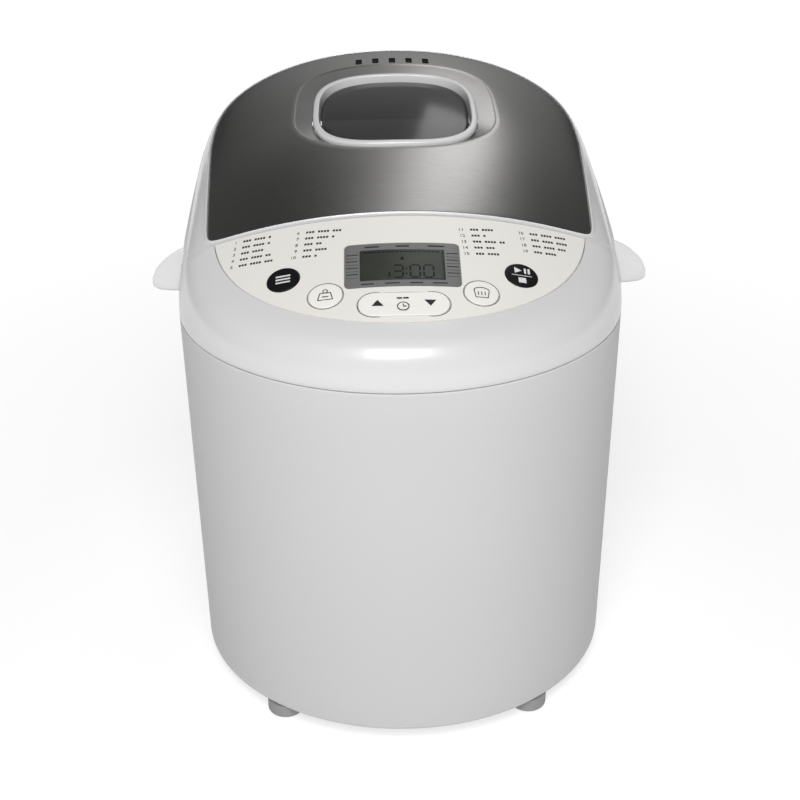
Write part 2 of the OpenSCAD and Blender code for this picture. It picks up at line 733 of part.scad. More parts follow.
module element_clamps() {
    color(steel) {
        for (x = [-1, 1]) translate([x * (element_w / 2), hub_y, 0]) {
            translate([-4, -4, oven_floor + sheet_t])
                cube([8, 8, element_z - element_r - oven_floor - sheet_t]);
            translate([x > 0 ? element_r + 0.1 : -element_r - 1.6, -4, oven_floor + sheet_t])
                cube([1.5, 8, element_z - oven_floor]);
        }
        translate([-4, hub_y - element_l / 2 - 4, oven_floor + sheet_t])
            cube([8, 8, element_z - element_r - oven_floor - sheet_t]);
    }
}

module temperature_sensor() {
    color(steel) at_sensor() {
        translate([0, 0, -sheet_t - 1]) cylinder(r = 3, h = 19);
        translate([0, 0, -sheet_t - 7]) cylinder(r = 6, h = 7);
    }
}

module thermal_fuse() {
    color(grey) translate([oven_w / 2 + sheet_t, hub_y, 110]) {
        translate([0, -9, 0]) cube([1.5, 18, 26]);
        translate([4, 0, 2]) cylinder(r = 3, h = 22);
    }
}

// Socket ring on the oven floor with two bayonet slots
socket_r = 37;
lug_w = 10;
twist = 12;
module sector(a0, a1, r) polygon(concat([[0, 0]], [for (i = [0 : 6]) r * dir(a0 + (a1 - a0) * i / 6)]));
module pan_socket() {
    lug_half = asin(lug_w / 2 / 33) + 1.5;
    color(steel) translate([0, hub_y, oven_floor + sheet_t]) difference() {
        tube(socket_r, 33.4, 13);
        for (s = [0, 180]) {
            translate([0, 0, 4.4]) linear_extrude(4.2) sector(s - lug_half, s + twist + lug_half, 60);
            translate([0, 0, 4.4]) linear_extrude(20)
                sector(s + twist - lug_half, s + twist + lug_half, 60);
        }
    }
}

// ---- Bread pan ---------------------------------------------------------------------------------

pan_floor = 70;
pan_r = 22;
sheet_pan = 1;
rivet_z = 168;
module bread_pan() {
    color(dark_steel) {
        difference() {
            slab(pan_floor, pan_top - pan_floor) rrect(pan_w, pan_l, pan_r);
            slab(pan_floor + sheet_pan, 300)
                rrect(pan_w - 2 * sheet_pan, pan_l - 2 * sheet_pan, pan_r - sheet_pan);
            slab(pan_floor - 1, 10) circle(9.05);
        }
        slab(pan_top - 3, 3) frame_2d(pan_w + 6, pan_l + 6, pan_r + 3, 3.2);
    }
}

module pan_base_ring() {
    color(steel) translate([0, hub_y, 0]) {
        translate([0, 0, oven_floor + sheet_t + 0.3])
            tube(32.8, 30.8, pan_floor - oven_floor - sheet_t - 0.3);
        for (x = [-1, 1]) translate([x * 34, 0, oven_floor + sheet_t + 6.5])
            cube([6, lug_w, 3.4], center = true);
    }
}

bail_x = 66;
bail_r = 1.8;
bail_lift = 20;             // angle of the stored bail above the horizontal
module bail_rivets() {
    color(steel) for (x = [-1, 1]) translate([x * pan_w / 2, hub_y, rivet_z]) rotate([0, x * 90, 0]) {
        cylinder(r = 2.4, h = 8.2);
        cylinder(r = 5, h = 2.4);
        translate([0, 0, 8.2]) cylinder(r = 4, h = 1.2);
    }
}
module pan_bail() {
    bend = 10;
    arm = bail_reach - bend;
    color(steel) translate([0, hub_y, rivet_z]) rotate([bail_lift, 0, 0]) {
        for (x = [-1, 1]) translate([x * bail_x, 0, 0]) {
            difference() {
                union() {
                    rotate([0, 90, 0]) cylinder(r = 4.4, h = 2.6, center = true);
                    translate([-1.3, 3, -bail_r]) cube([2.6, 6, 2 * bail_r]);
                }
                rotate([0, 90, 0]) cylinder(r = 2.4 + running_gap, h = 8, center = true);
            }
            translate([0, 8, 0]) rotate([-90, 0, 0]) cylinder(r = bail_r, h = arm - 8);
        }
        for (s = [0, 1]) mirror([s, 0, 0]) translate([bail_x - bend, arm, 0])
            rotate_extrude(angle = 90) translate([bend, 0]) circle(bail_r, $fn = 24);
        translate([0, bail_reach, 0]) rotate([0, 90, 0])
            cylinder(r = bail_r, h = 2 * (bail_x - bend), center = true);
    }
}

module at_hub(z) translate([0, hub_y, z]) children();
module pan_bush() {
    color("goldenrod") at_hub(66.6) difference() {
        union() {
            cylinder(r = 9, h = 11.4);
            cylinder(r = 12, h = 3.3);
        }
        translate([0, 0, -1]) cylinder(r = shaft_r + running_gap, h = 14);
    }
}
module pan_shaft() color(steel) at_hub(57) cylinder(r = shaft_r, h = 44);
module shaft_seal() {
    color(black) at_hub(78.2) tube(8, shaft_r + running_gap, 2.2);
}

// Hub with a flat foot and an upright curved blade
module kneading_paddle() {
    color(dark_steel) at_hub(81) difference() {
        union() {
            cylinder(r = 9, h = 21);
            linear_extrude(6) difference() {
                translate([0, -20]) intersection() {
                    translate([14, 8]) circle(34);
                    translate([14, 20]) circle(32);
                }
                circle(5);
            }
            linear_extrude(27) intersection() {
                translate([22, -34]) difference() {
                    circle(40);
                    circle(36);
                }
                translate([4, -12]) square([44, 40]);
            }
        }
        translate([0, 0, -1]) cylinder(r = shaft_r + 0.02, h = 30);
    }
}

module pan_coupler() {
    color(steel) at_hub(62.6) difference() {
        union() {
            cylinder(r = 14, h = 3.6);
            for (y = [-1, 1]) translate([-3, y > 0 ? 6 : -14, -6.4]) cube([6, 8, 8]);
        }
        translate([0, 0, -1]) cylinder(r = shaft_r, h = 10);
    }
}

// ---- Drive -------------------------------------------------------------------------------------

module drive_coupler() {
    color(steel) at_hub(49.6) difference() {
        union() {
            cylinder(r = 8, h = 5.8);
            for (x = [-1, 1]) translate([x > 0 ? 6 : -14, -3, 0]) cube([8, 6, 12]);
        }
        translate([0, 0, -1]) cylinder(r = shaft_r, h = 5.5);
    }
}
module drive_shaft() color(steel) at_hub(19) cylinder(r = shaft_r, h = 35);

frame_z = 38;
frame_t = 2.5;
bearing_bolt_r = 16;
module shaft_bushes() {
    color("goldenrod") for (z = [32, 42]) at_hub(z) tube(7, shaft_r + running_gap, 7);
}
module bearing_housing() {
    color(grey) at_hub(32) difference() {
        union() {
            cylinder(r = 12, h = 17);
            translate([0, 0, frame_z + frame_t - 32]) cylinder(r = 20, h = 3);
        }
        translate([0, 0, -1]) cylinder(r = 7, h = 20);
        for (q = bolt_angles) rotate([0, 0, q]) translate([bearing_bolt_r, 0, 0]) cylinder(r = 1.7, h = 20);
    }
}
module drive_frame() {
    color(steel) difference() {
        union() {
            slab(frame_z, frame_t) rrect(128, 106, 8);
            for (p = frame_post_xy) translate([p[0], p[1], foot_h + 6])
                cylinder(r = 4, h = frame_z - foot_h - 6);
        }
        slab(frame_z - 1, frame_t + 2) circle(12.2);
        for (q = bolt_angles) at_hub(0) rotate([0, 0, q]) translate([bearing_bolt_r, 0, 0])
            cylinder(r = 1.7, h = 60);
        for (p = frame_post_xy) translate([p[0], p[1], 0]) cylinder(r = 1.5, h = 60);
    }
}

belt_z = 20;
belt_h = 9;
module large_pulley() {
    color(grey) at_hub(belt_z - 0.5) difference() {
        union() {
            cylinder(r = pulley_r, h = belt_h + 1);
            for (z = [0, belt_h + 0.2]) translate([0, 0, z]) cylinder(r = pulley_r + 2.6, h = 0.8);
        }
        translate([0, 0, 3.5]) tube(pulley_r - 4, 12, 30);
        for (q = [0 : 5]) rotate([0, 0, q * 60]) translate([26, 0, -1]) cylinder(r = 8, h = 20);
        translate([0, 0, -1]) cylinder(r = shaft_r, h = 20);
    }
}

motor_y = -100;
belt_gap = 0.3;
module belt_plan(extra) {
    lead = asin((pulley_r - pinion_r) / (hub_y - motor_y));
    big_arc = [for (i = [0 : 48]) -lead + (180 + 2 * lead) * i / 48];
    small_arc = [for (i = [0 : 24]) 180 + lead + (180 - 2 * lead) * i / 24];
    polygon(concat([for (a = big_arc) [0, hub_y] + (pulley_r + extra) * dir(a)],
        [for (a = small_arc) [0, motor_y] + (pinion_r + extra) * dir(a)]));
}
module drive_belt() {
    color(black) translate([0, 0, belt_z + 1]) linear_extrude(belt_h - 2) difference() {
        belt_plan(belt_gap + 1.8);
        belt_plan(belt_gap);
    }
}

motor_z = 60;
motor_r = 36;
motor_bolt_r = 28;          // radius of the circle its four screws lie on
bolt_angles = [45 : 90 : 315];
module at_motor(z) translate([0, motor_y, z]) children();
module motor_body() {
    color(steel) at_motor(motor_z) difference() {
        union() {
            cylinder(r = motor_r, h = 62);
            translate([0, 0, -3]) cylinder(r = 12, h = 3);
            translate([0, 0, 62]) cylinder(r = 14, h = 6);
            for (q = bolt_angles) rotate([0, 0, q]) translate([0, motor_bolt_r, 0]) cylinder(r = 4, h = 64);
        }
        translate([0, 0, 4]) cylinder(r = motor_r - 10, h = 54);
        translate([0, 0, -10]) cylinder(r = shaft_r + running_gap - 1, h = 100);
        for (q = bolt_angles) rotate([0, 0, q]) translate([0, motor_bolt_r, -1]) cylinder(r = 1.8, h = 7);
    }
}
module motor_rotor() {
    color(dark_steel) at_motor(0) {
        translate([0, 0, 18]) cylinder(r = shaft_r - 1, h = 108);
        translate([0, 0, motor_z + 12]) cylinder(r = motor_r - 13, h = 36);
        translate([0, 0, motor_z + 50]) cylinder(r = motor_r - 14, h = 4);
    }
}
module motor_pulley() {
    color(grey) at_motor(belt_z - 0.5) difference() {
        union() {
            cylinder(r = pinion_r, h = belt_h + 1);
            for (z = [0, belt_h + 0.2]) translate([0, 0, z]) cylinder(r = pinion_r + 2.4, h = 0.8);
            cylinder(r = 6, h = belt_h + 6);
        }
        translate([0, 0, -1]) cylinder(r = shaft_r - 1, h = 30);
    }
}
bracket_t = 2.5;
module motor_bracket() {
    color(steel) difference() {
        union() {
            translate([0, motor_y, motor_z - bracket_t]) linear_extrude(bracket_t) rrect(100, 76, 8);
            for (p = post_xy) translate([p[0], p[1], foot_h + 6])
                cylinder(r = 4, h = motor_z - foot_h - 7);
        }
        at_motor(0) cylinder(r = 14, h = 100);
        for (q = bolt_angles) at_motor(40) rotate([0, 0, q]) translate([0, motor_bolt_r, 0])
            cylinder(r = 2, h = 40);
    }
}
module motor_screws() {
    color(steel) for (q = bolt_angles) at_motor(motor_z - bracket_t - 2) rotate([0, 0, q])
        translate([0, motor_bolt_r, 0]) screw(3.4, 2, 1.7, 9);
}

module power_board() {
    color("darkgreen") translate([-92, -52, 60]) {
        cube([1.6, 70, 90]);
        translate([-12, 8, 10]) cube([12, 18, 22]);
        translate([-9, 46, 20]) cube([9, 14, 30]);
        translate([-10, 10, 50]) cube([10, 26, 20]);
    }
}

module cord_inlet() {
    color(black) translate([inlet_x, 144, inlet_z]) rotate([-90, 0, 0]) {
        tube(6.4, 3.6, 9.6);
        tube(9, 3.6, 2);
    }
}

base_pan();
rubber_feet();
base_screws();
front_casing();
rear_casing();
top_housing();
deck_frame();
left_lift_tab();
right_lift_tab();
control_fascia();
control_overlay();
display_lens();
display_module();
control_board();
key_switches();
menu_button();
weight_button();
time_rocker();
colour_button();
start_stop_button();
lid_frame();
lid_cover();
window_ring();
window_glass();
lid_liner();
inner_glass();
lid_gasket();
lid_screws();
hinge_arms();
hinge_pins();
hinge_brackets();
oven_chamber();
heating_element();
element_clamps();
temperature_sensor();
thermal_fuse();
pan_socket();
bread_pan();
pan_base_ring();
pan_bail();
bail_rivets();
pan_bush();
pan_shaft();
shaft_seal();
kneading_paddle();
pan_coupler();
drive_coupler();
drive_shaft();
shaft_bushes();
bearing_housing();
drive_frame();
large_pulley();
drive_belt();
motor_body();
motor_rotor();
motor_pulley();
motor_bracket();
motor_screws();
power_board();
cord_inlet();
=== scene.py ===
"""Bread machine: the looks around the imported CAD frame. Lengths are millimetres until a mesh is made."""
import json
import math

import bpy
import bmesh
from mathutils import Matrix, Vector


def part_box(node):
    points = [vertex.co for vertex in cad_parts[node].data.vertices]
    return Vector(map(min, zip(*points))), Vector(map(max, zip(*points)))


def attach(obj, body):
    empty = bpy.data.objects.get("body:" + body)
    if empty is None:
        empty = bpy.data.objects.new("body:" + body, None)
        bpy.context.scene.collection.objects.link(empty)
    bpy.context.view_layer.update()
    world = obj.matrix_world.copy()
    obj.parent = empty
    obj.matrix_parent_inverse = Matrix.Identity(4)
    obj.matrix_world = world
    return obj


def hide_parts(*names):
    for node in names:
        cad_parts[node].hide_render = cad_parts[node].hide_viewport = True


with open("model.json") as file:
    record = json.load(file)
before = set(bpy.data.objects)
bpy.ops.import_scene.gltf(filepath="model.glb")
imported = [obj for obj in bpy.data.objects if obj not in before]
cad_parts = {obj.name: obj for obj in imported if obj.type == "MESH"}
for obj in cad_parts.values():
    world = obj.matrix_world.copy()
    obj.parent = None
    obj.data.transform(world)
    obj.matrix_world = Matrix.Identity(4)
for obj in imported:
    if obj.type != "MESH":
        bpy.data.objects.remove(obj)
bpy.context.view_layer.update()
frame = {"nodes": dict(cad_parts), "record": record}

MM = 0.001


def node_box(node):
    lo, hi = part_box(node)
    return Vector(lo) / MM, Vector(hi) / MM


# ---- Driving dimensions, from the frame where it has them -----------------------------------------

REAR_HI = node_box("rear_casing")[1]
HOUSING_LO = node_box("top_housing")[0]
HALF_W = REAR_HI.x
WAIST_Y = -50.0
HUB_Y = 40.0
NOSE = WAIST_Y - HOUSING_LO.y
TAIL = REAR_HI.y - HUB_Y
TAIL_POWER = 3.2
SEAM_Z = HOUSING_LO.z
FOOT_H = node_box("front_casing")[0].z
DRAFT = 0.02
WALL = 2.2
PANEL_TILT = math.radians(19.8)
PANEL_Y = -149.0
PANEL_Z = 232.0
ARCH_R = 265.0
LID_FRONT_Y = -67.5
LID_BOW = 6.0
BOW_HALF_W = 97.0
LID_MARGIN = 0.9
STEEL_W = 103.5
STEEL_TAIL = 106.0
STEEL_MARGIN = 1.6
STEEL_TAPER = 0.055
STEEL_CORNER = 30.0
CREST_Y = 125.0
CREST_Z = 292.5
LID_CURVE = 1200.0
ROLL_POWER = 30.0
RIM_Z = 230.0
SIDE_RIM_Z = 212.0
HINGE_LIFT = 14.0
FRONT_RISE = 50.0
FRONT_SWOOP = (-62, -48)
REAR_SWOOP = (60, 95)
HINGE_SWOOP = (134, 148)
FASCIA_K = 0.825
GAP = 0.6
KEYS = {"menu_button": (-12.5, 46.5), "weight_button": (-8.0, 30.6), "colour_button": (8.0, 30.6),
        "start_stop_button": (12.5, 46.5)}
KEY_R = 8.2
KEY_PROUD = 0.5
ROCKER_Y = 21.8
ROCKER_W = 43.0
ROCKER_H = 15.6
DISPLAY_Y = 49.5


# ---- Shape rules shared with the CAD --------------------------------------------------------------

def arch(x):
    """How far the arched panel has fallen, straight down, at x."""
    return (ARCH_R - math.sqrt(ARCH_R**2 - x**2)) / math.cos(PANEL_TILT)


def crown(y):
    """Height of the skin over the middle line: the panel's slope, then the lid's curve."""
    if y < LID_FRONT_Y:
        return PANEL_Z + (y - PANEL_Y) * math.tan(PANEL_TILT)
    return CREST_Z - (y - CREST_Y) ** 2 / LID_CURVE


def nose_hit(a, k=1.0):
    """Distance from the hub to the nose ellipse scaled by k."""
    dx, dy = math.cos(a), math.sin(a)
    qa = (dx / HALF_W) ** 2 + (dy / NOSE) ** 2
    qb = 2 * dy * (HUB_Y - WAIST_Y) / NOSE**2
    qc = ((HUB_Y - WAIST_Y) / NOSE) ** 2 - k * k
    return (-qb + math.sqrt(qb * qb - 4 * qa * qc)) / (2 * qa)


def outline_r(a):
    """Distance from the hub to the outline: an ellipse in front, straight sides, a squarer tail."""
    dx, dy = abs(math.cos(a)), math.sin(a)
    if dy >= 0:
        return ((dx / HALF_W) ** TAIL_POWER + (dy / TAIL) ** TAIL_POWER) ** (-1 / TAIL_POWER)
    if HUB_Y + dy * HALF_W / max(dx, 1e-6) >= WAIST_Y:
        return HALF_W / dx
    return nose_hit(a)


def reach(x, y):
    """How near a point is to the outline, which is at 1."""
    if y >= HUB_Y:
        return ((abs(x) / HALF_W) ** TAIL_POWER + ((y - HUB_Y) / TAIL) ** TAIL_POWER) ** (1 / TAIL_POWER)
    if y >= WAIST_Y:
        return abs(x) / HALF_W
    return math.hypot(x / HALF_W, (y - WAIST_Y) / NOSE)


def dome(x, y):
    """Height of the closed outer skin over a point, with the rolled edge."""
    return SEAM_Z + (crown(y) - arch(x) - SEAM_Z) * math.sqrt(max(0.0, 1 - reach(x, y) ** ROLL_POWER))


def loop_r(a, width, front, tail, taper=0.0, corner=18.0):
    """Distance from the hub to a closed curve with straight sides and a bowed front edge."""
    dx, dy = abs(math.cos(a)), math.sin(a)
    power = corner if dy < 0 else TAIL_POWER
    r = 100.0
    for _ in range(5):
        w = width - taper * max(0.0, -r * dy)
        f = (front - LID_BOW * (r * dx / BOW_HALF_W) ** 2) if dy < 0 else tail
        r = ((dx / w) ** power + (abs(dy) / f) ** power) ** (-1 / power)
    return r


LID_W = HALF_W - LID_MARGIN
LID_FRONT = HUB_Y - LID_FRONT_Y
LID_TAIL = TAIL - LID_MARGIN


def lid_edge(a, inset=0.0):
    return loop_r(a, LID_W - inset, LID_FRONT - inset, LID_TAIL - inset)


def steel_edge(a, inset=0.0):
    return loop_r(a, STEEL_W - inset, LID_FRONT - STEEL_MARGIN - inset, STEEL_TAIL - inset, STEEL_TAPER,
                  STEEL_CORNER)


def at(r, a, z):
    """Point at a distance and an angle from the hub."""
    return (r * math.cos(a), HUB_Y + r * math.sin(a), z)


def on_dome(r, a, drop=0.0):
    """Point on the outer skin, or dropped below it."""
    x, y = r * math.cos(a), HUB_Y + r * math.sin(a)
    return (x, y, dome(x, y) - drop)


def even_angles(curve, count):
    """Angles about the hub that step evenly along a closed curve."""
    fine = [math.radians(i / 8) for i in range(8 * 360 + 1)]
    points = [Vector(at(curve(a), a, 0)) for a in fine]
    length = [0.0]
    for p, q in zip(points, points[1:]):
        length.append(length[-1] + (q - p).length)
    out, i = [], 0
    for k in range(count):
        want = length[-1] * k / count
        while length[i + 1] < want:
            i += 1
        share = (want - length[i]) / (length[i + 1] - length[i])
        out.append(fine[i] + share * (fine[i + 1] - fine[i]))
    return out


def panel_point(arc, up, height=0.0):
    """Point over the arched panel: arc across it, up its slope, height along its normal."""
    turn = arc / ARCH_R
    x = (ARCH_R + height) * math.sin(turn)
    n = (ARCH_R + height) * math.cos(turn) - ARCH_R
    c, s = math.cos(PANEL_TILT), math.sin(PANEL_TILT)
    return (x, PANEL_Y + up * c - n * s, PANEL_Z + up * s + n * c)


def panel_matrix(turn_deg, up):
    """Frame on the panel's surface, in metres: local z is the normal, local y runs up the slope."""
    origin = Vector(panel_point(math.radians(turn_deg) * ARCH_R, up)) * MM
    turn = Matrix.Rotation(PANEL_TILT, 4, "X") @ Matrix.Rotation(math.radians(turn_deg), 4, "Y")
    return Matrix.Translation(origin) @ turn


# ---- Mesh tools -----------------------------------------------------------------------------------

SHARP = 35.0


def build(name, points, faces, body, slot, material, sharp=SHARP, matrix=None):
    """Visible piece from points in millimetres; the matrix, where there is one, is in metres."""
    mesh = bpy.data.meshes.new(name)
    mesh.from_pydata([[c * MM for c in p] for p in points], [], faces)
    bm = bmesh.new()
    bm.from_mesh(mesh)
    bmesh.ops.recalc_face_normals(bm, faces=bm.faces)
    bm.to_mesh(mesh)
    bm.free()
    if matrix is not None:
        mesh.transform(matrix)
    mesh.materials.append(material)
    mesh.polygons.foreach_set("use_smooth", [True] * len(mesh.polygons))
    mesh.set_sharp_from_angle(angle=math.radians(sharp))
    obj = bpy.data.objects.new(name, mesh)
    bpy.context.scene.collection.objects.link(obj)
    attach(obj, body)
    return obj


def loft(sections, ring=True):
    """Closed skin over equal closed sections: a ring of them, or an open run with end caps."""
    n, k = len(sections), len(sections[0])
    points = [p for s in sections for p in s]
    faces = []
    for i in range(n if ring else n - 1):
        for j in range(k):
            a, b, e = i * k, ((i + 1) % n) * k, (j + 1) % k
            faces.append((a + j, a + e, b + e, b + j))
    if not ring:
        faces.append(tuple(range(k - 1, -1, -1)))
        faces.append(tuple((n - 1) * k + j for j in range(k)))
    return points, faces


def plate(top, rings, bottom):
    """Closed plate: a middle point, rings out over the edge and back under, a middle point."""
    n, m = len(rings[0]), len(rings)
    points = [top] + [p for r in rings for p in r] + [bottom]
    faces = [(0, 1 + j, 1 + (j + 1) % n) for j in range(n)]
    for i in range(m - 1):
        for j in range(n):
            a, b, e = 1 + i * n, 1 + (i + 1) * n, (j + 1) % n
            faces.append((a + j, b + j, b + e, a + e))
    last = m * n + 1
    faces += [(last, last - n + (j + 1) % n, last - n + j) for j in range(n)]
    return points, faces


def lathe(profile, segments=96):
    """Closed solid of revolution about z; the profile runs from the axis to the axis."""
    rings = [[(r * math.cos(t), r * math.sin(t), z) for t in turns(segments)] for r, z in profile[1:-1]]
    return plate((0, 0, profile[0][1]), rings, (0, 0, profile[-1][1]))


def turns(count):
    return [2 * math.pi * i / count for i in range(count)]


def fillet(cx, cz, radius, start, end, count=6):
    """Arc of profile points about (cx, cz), angles in degrees."""
    steps = [math.radians(start + (end - start) * i / count) for i in range(count + 1)]
    return [(cx + radius * math.cos(t), cz + radius * math.sin(t)) for t in steps]


def rounded_rect(w, h, r, per_corner=10):
    out = []
    for q, (sx, sy) in enumerate([(1, 1), (-1, 1), (-1, -1), (1, -1)]):
        for i in range(per_corner + 1):
            t = math.radians(90 * q + 90 * i / per_corner)
            out.append((sx * (w / 2 - r) + r * math.cos(t), sy * (h / 2 - r) + r * math.sin(t)))
    return out


def cut(obj, cutters):
    """Cuts the cutters out of a mesh and removes them."""
    for c in cutters:
        bpy.context.scene.collection.objects.link(c)
        m = obj.modifiers.new("cut", "BOOLEAN")
        m.operation, m.solver, m.object = "DIFFERENCE", "EXACT", c
    bpy.context.view_layer.update()
    made = bpy.data.meshes.new_from_object(obj.evaluated_get(bpy.context.evaluated_depsgraph_get()))
    obj.modifiers.clear()
    made.set_sharp_from_angle(angle=math.radians(SHARP))
    obj.data = made
    for c in cutters:
        bpy.data.objects.remove(c)


def prism(name, outline, low, high, matrix=None):
    """Plain extruded outline, used as a cutter."""
    n = len(outline)
    points = [(x, y, low) for x, y in outline] + [(x, y, high) for x, y in outline]
    faces = [tuple(range(n - 1, -1, -1)), tuple(range(n, 2 * n))]
    faces += [(i, (i + 1) % n, n + (i + 1) % n, n + i) for i in range(n)]
    mesh = bpy.data.meshes.new(name)
    mesh.from_pydata([[c * MM for c in p] for p in points], [], faces)
    if matrix is not None:
        mesh.transform(matrix)
    return bpy.data.objects.new(name, mesh)


# ---- Materials ------------------------------------------------------------------------------------

def base_material(name):
    m = bpy.data.materials.new(name)
    m.use_nodes = True
    return m, m.node_tree.links, m.node_tree.nodes["Principled BSDF"]


def add_noise(m, scale, detail=3.0, stretch=(1, 1, 1), rough=0.5):
    nodes, links = m.node_tree.nodes, m.node_tree.links
    coord = nodes.new("ShaderNodeTexCoord")
    mapping = nodes.new("ShaderNodeMapping")
    mapping.inputs["Scale"].default_value = stretch
    noise = nodes.new("ShaderNodeTexNoise")
    noise.inputs["Scale"].default_value = scale
    noise.inputs["Detail"].default_value = detail
    noise.inputs["Roughness"].default_value = rough
    links.new(coord.outputs["Object"], mapping.inputs["Vector"])
    links.new(mapping.outputs["Vector"], noise.inputs["Vector"])
    return noise.outputs["Fac"]


def add_range(m, value, low, high, source=(0.3, 0.7)):
    node = m.node_tree.nodes.new("ShaderNodeMapRange")
    node.inputs["From Min"].default_value, node.inputs["From Max"].default_value = source
    node.inputs["To Min"].default_value, node.inputs["To Max"].default_value = low, high
    m.node_tree.links.new(value, node.inputs["Value"])
    return node.outputs["Result"]


def add_mix(m, factor, dark, light):
    node = m.node_tree.nodes.new("ShaderNodeMix")
    node.data_type = "RGBA"
    node.inputs["A"].default_value = (*dark, 1)
    node.inputs["B"].default_value = (*light, 1)
    m.node_tree.links.new(factor, node.inputs["Factor"])
    return node.outputs["Result"]


def add_bump(m, height, distance):
    node = m.node_tree.nodes.new("ShaderNodeBump")
    node.inputs["Distance"].default_value = distance
    node.inputs["Strength"].default_value = 1.0
    m.node_tree.links.new(height, node.inputs["Height"])
    return node.outputs["Normal"]


def surface(name, dark, light, rough, metallic=0.0, cloud=6.0, grain=900.0, stretch=(1, 1, 1),
            bump=0.00002, coat=0.0, coat_rough=0.1, specular=0.5, anisotropy=0.0, cloud_stretch=(1, 1, 1)):
    """Two shades clouded together, with a grain that sets roughness and bump."""
    m, links, bsdf = base_material(name)
    clouds = add_noise(m, cloud, 3.0, cloud_stretch)
    fine = add_noise(m, grain, 4.0, stretch, 0.6)
    links.new(add_mix(m, add_range(m, clouds, 0, 1), dark, light), bsdf.inputs["Base Color"])
    links.new(add_range(m, fine, rough[0], rough[1]), bsdf.inputs["Roughness"])
    links.new(add_bump(m, fine, bump), bsdf.inputs["Normal"])
    bsdf.inputs["Metallic"].default_value = metallic
    bsdf.inputs["Specular IOR Level"].default_value = specular
    bsdf.inputs["Coat Weight"].default_value = coat
    bsdf.inputs["Coat Roughness"].default_value = coat_rough
    bsdf.inputs["Anisotropic"].default_value = anisotropy
    return m


def tinted_glass(name, tint, rough, alpha):
    m, links, bsdf = base_material(name)
    smear = add_noise(m, 25, 4.0)
    links.new(add_mix(m, add_range(m, smear, 0, 1), tint, [c * 1.3 for c in tint]), bsdf.inputs["Base Color"])
    links.new(add_range(m, smear, rough[0], rough[1]), bsdf.inputs["Roughness"])
    bsdf.inputs["Alpha"].default_value = alpha
    bsdf.inputs["Specular IOR Level"].default_value = 0.25
    return m


pearl = surface("pearl_casing", (0.51, 0.51, 0.512), (0.54, 0.54, 0.542), (0.40, 0.48), cloud=3, grain=2500,
                bump=0.000006, coat=0.0, coat_rough=0.3, specular=0.08)
gloss_white = surface("white_gloss", (0.57, 0.57, 0.57), (0.60, 0.60, 0.60), (0.26, 0.34), cloud=4,
                      grain=1800, bump=0.000006, coat=0.25, coat_rough=0.14, specular=0.4)
steel = surface("brushed_steel", (0.36, 0.355, 0.35), (0.40, 0.395, 0.388), (0.28, 0.36), metallic=1.0,
                cloud=90, grain=110, stretch=(0.25, 30, 30), cloud_stretch=(0.1, 14, 14), bump=0.000004,
                anisotropy=0.5)
cream = surface("cream_overlay", (0.69, 0.675, 0.635), (0.72, 0.705, 0.665), (0.38, 0.48), cloud=5,
                grain=3000, bump=0.000008)
cream_key = surface("cream_key", (0.73, 0.715, 0.68), (0.76, 0.745, 0.71), (0.36, 0.46), cloud=8, grain=3000,
                    bump=0.000008)
black_key = surface("black_key", (0.004, 0.004, 0.005), (0.008, 0.008, 0.009), (0.3, 0.42), cloud=20,
                    grain=2500, bump=0.00001, specular=0.25)
ink = surface("panel_ink", (0.016, 0.016, 0.018), (0.03, 0.03, 0.032), (0.5, 0.6), cloud=30, grain=3000,
              bump=0.000004, specular=0.2)
pale_ink = surface("key_ink", (0.62, 0.62, 0.62), (0.68, 0.68, 0.68), (0.4, 0.5), cloud=30, grain=3000,
                   bump=0.000004)
grey_ink = surface("outline_ink", (0.06, 0.06, 0.06), (0.09, 0.09, 0.09), (0.5, 0.6), cloud=30, grain=3000,
                   bump=0.000004, specular=0.2)
bezel_grey = surface("display_bezel", (0.125, 0.125, 0.125), (0.15, 0.15, 0.15), (0.3, 0.4), cloud=14,
                     grain=2500, bump=0.000004, specular=0.25)
lcd_green = surface("lcd", (0.022, 0.026, 0.02), (0.034, 0.038, 0.03), (0.22, 0.3), cloud=30, grain=4000,
                    bump=0.000003, specular=0.25)
lcd_dark = surface("lcd_segment", (0.004, 0.005, 0.004), (0.007, 0.008, 0.007), (0.3, 0.4), cloud=30,
                   grain=3000, bump=0.000002, specular=0.15)
rubber = surface("rubber", (0.22, 0.22, 0.225), (0.29, 0.29, 0.295), (0.6, 0.8), cloud=30, grain=1500,
                 bump=0.00003)
black_rubber = surface("black_rubber", (0.012, 0.012, 0.012), (0.025, 0.025, 0.025), (0.55, 0.75), cloud=40,
                       grain=1500, bump=0.00003)
base_plastic = surface("base_plastic", (0.30, 0.30, 0.31), (0.36, 0.36, 0.37), (0.45, 0.6), cloud=12,
                       grain=1400, bump=0.00004)
black_plastic = surface("black_plastic", (0.012, 0.012, 0.013), (0.022, 0.022, 0.024), (0.35, 0.5), cloud=20,
                        grain=1600, bump=0.00002)
nylon = surface("pulley_plastic", (0.03, 0.03, 0.032), (0.05, 0.05, 0.052), (0.45, 0.6), cloud=30, grain=1600,
                bump=0.00003)
chrome = surface("screw_steel", (0.52, 0.52, 0.52), (0.62, 0.62, 0.61), (0.16, 0.28), metallic=1.0, cloud=80,
                 grain=900, bump=0.00001)
bail_wire = surface("bail_wire", (0.58, 0.58, 0.58), (0.66, 0.66, 0.66), (0.10, 0.2), metallic=1.0, cloud=50,
                    grain=700, stretch=(0.2, 1, 1), bump=0.000008)
zinc = surface("zinc_steel", (0.42, 0.43, 0.43), (0.56, 0.57, 0.57), (0.34, 0.5), metallic=0.9, cloud=45,
               grain=500, bump=0.00002)
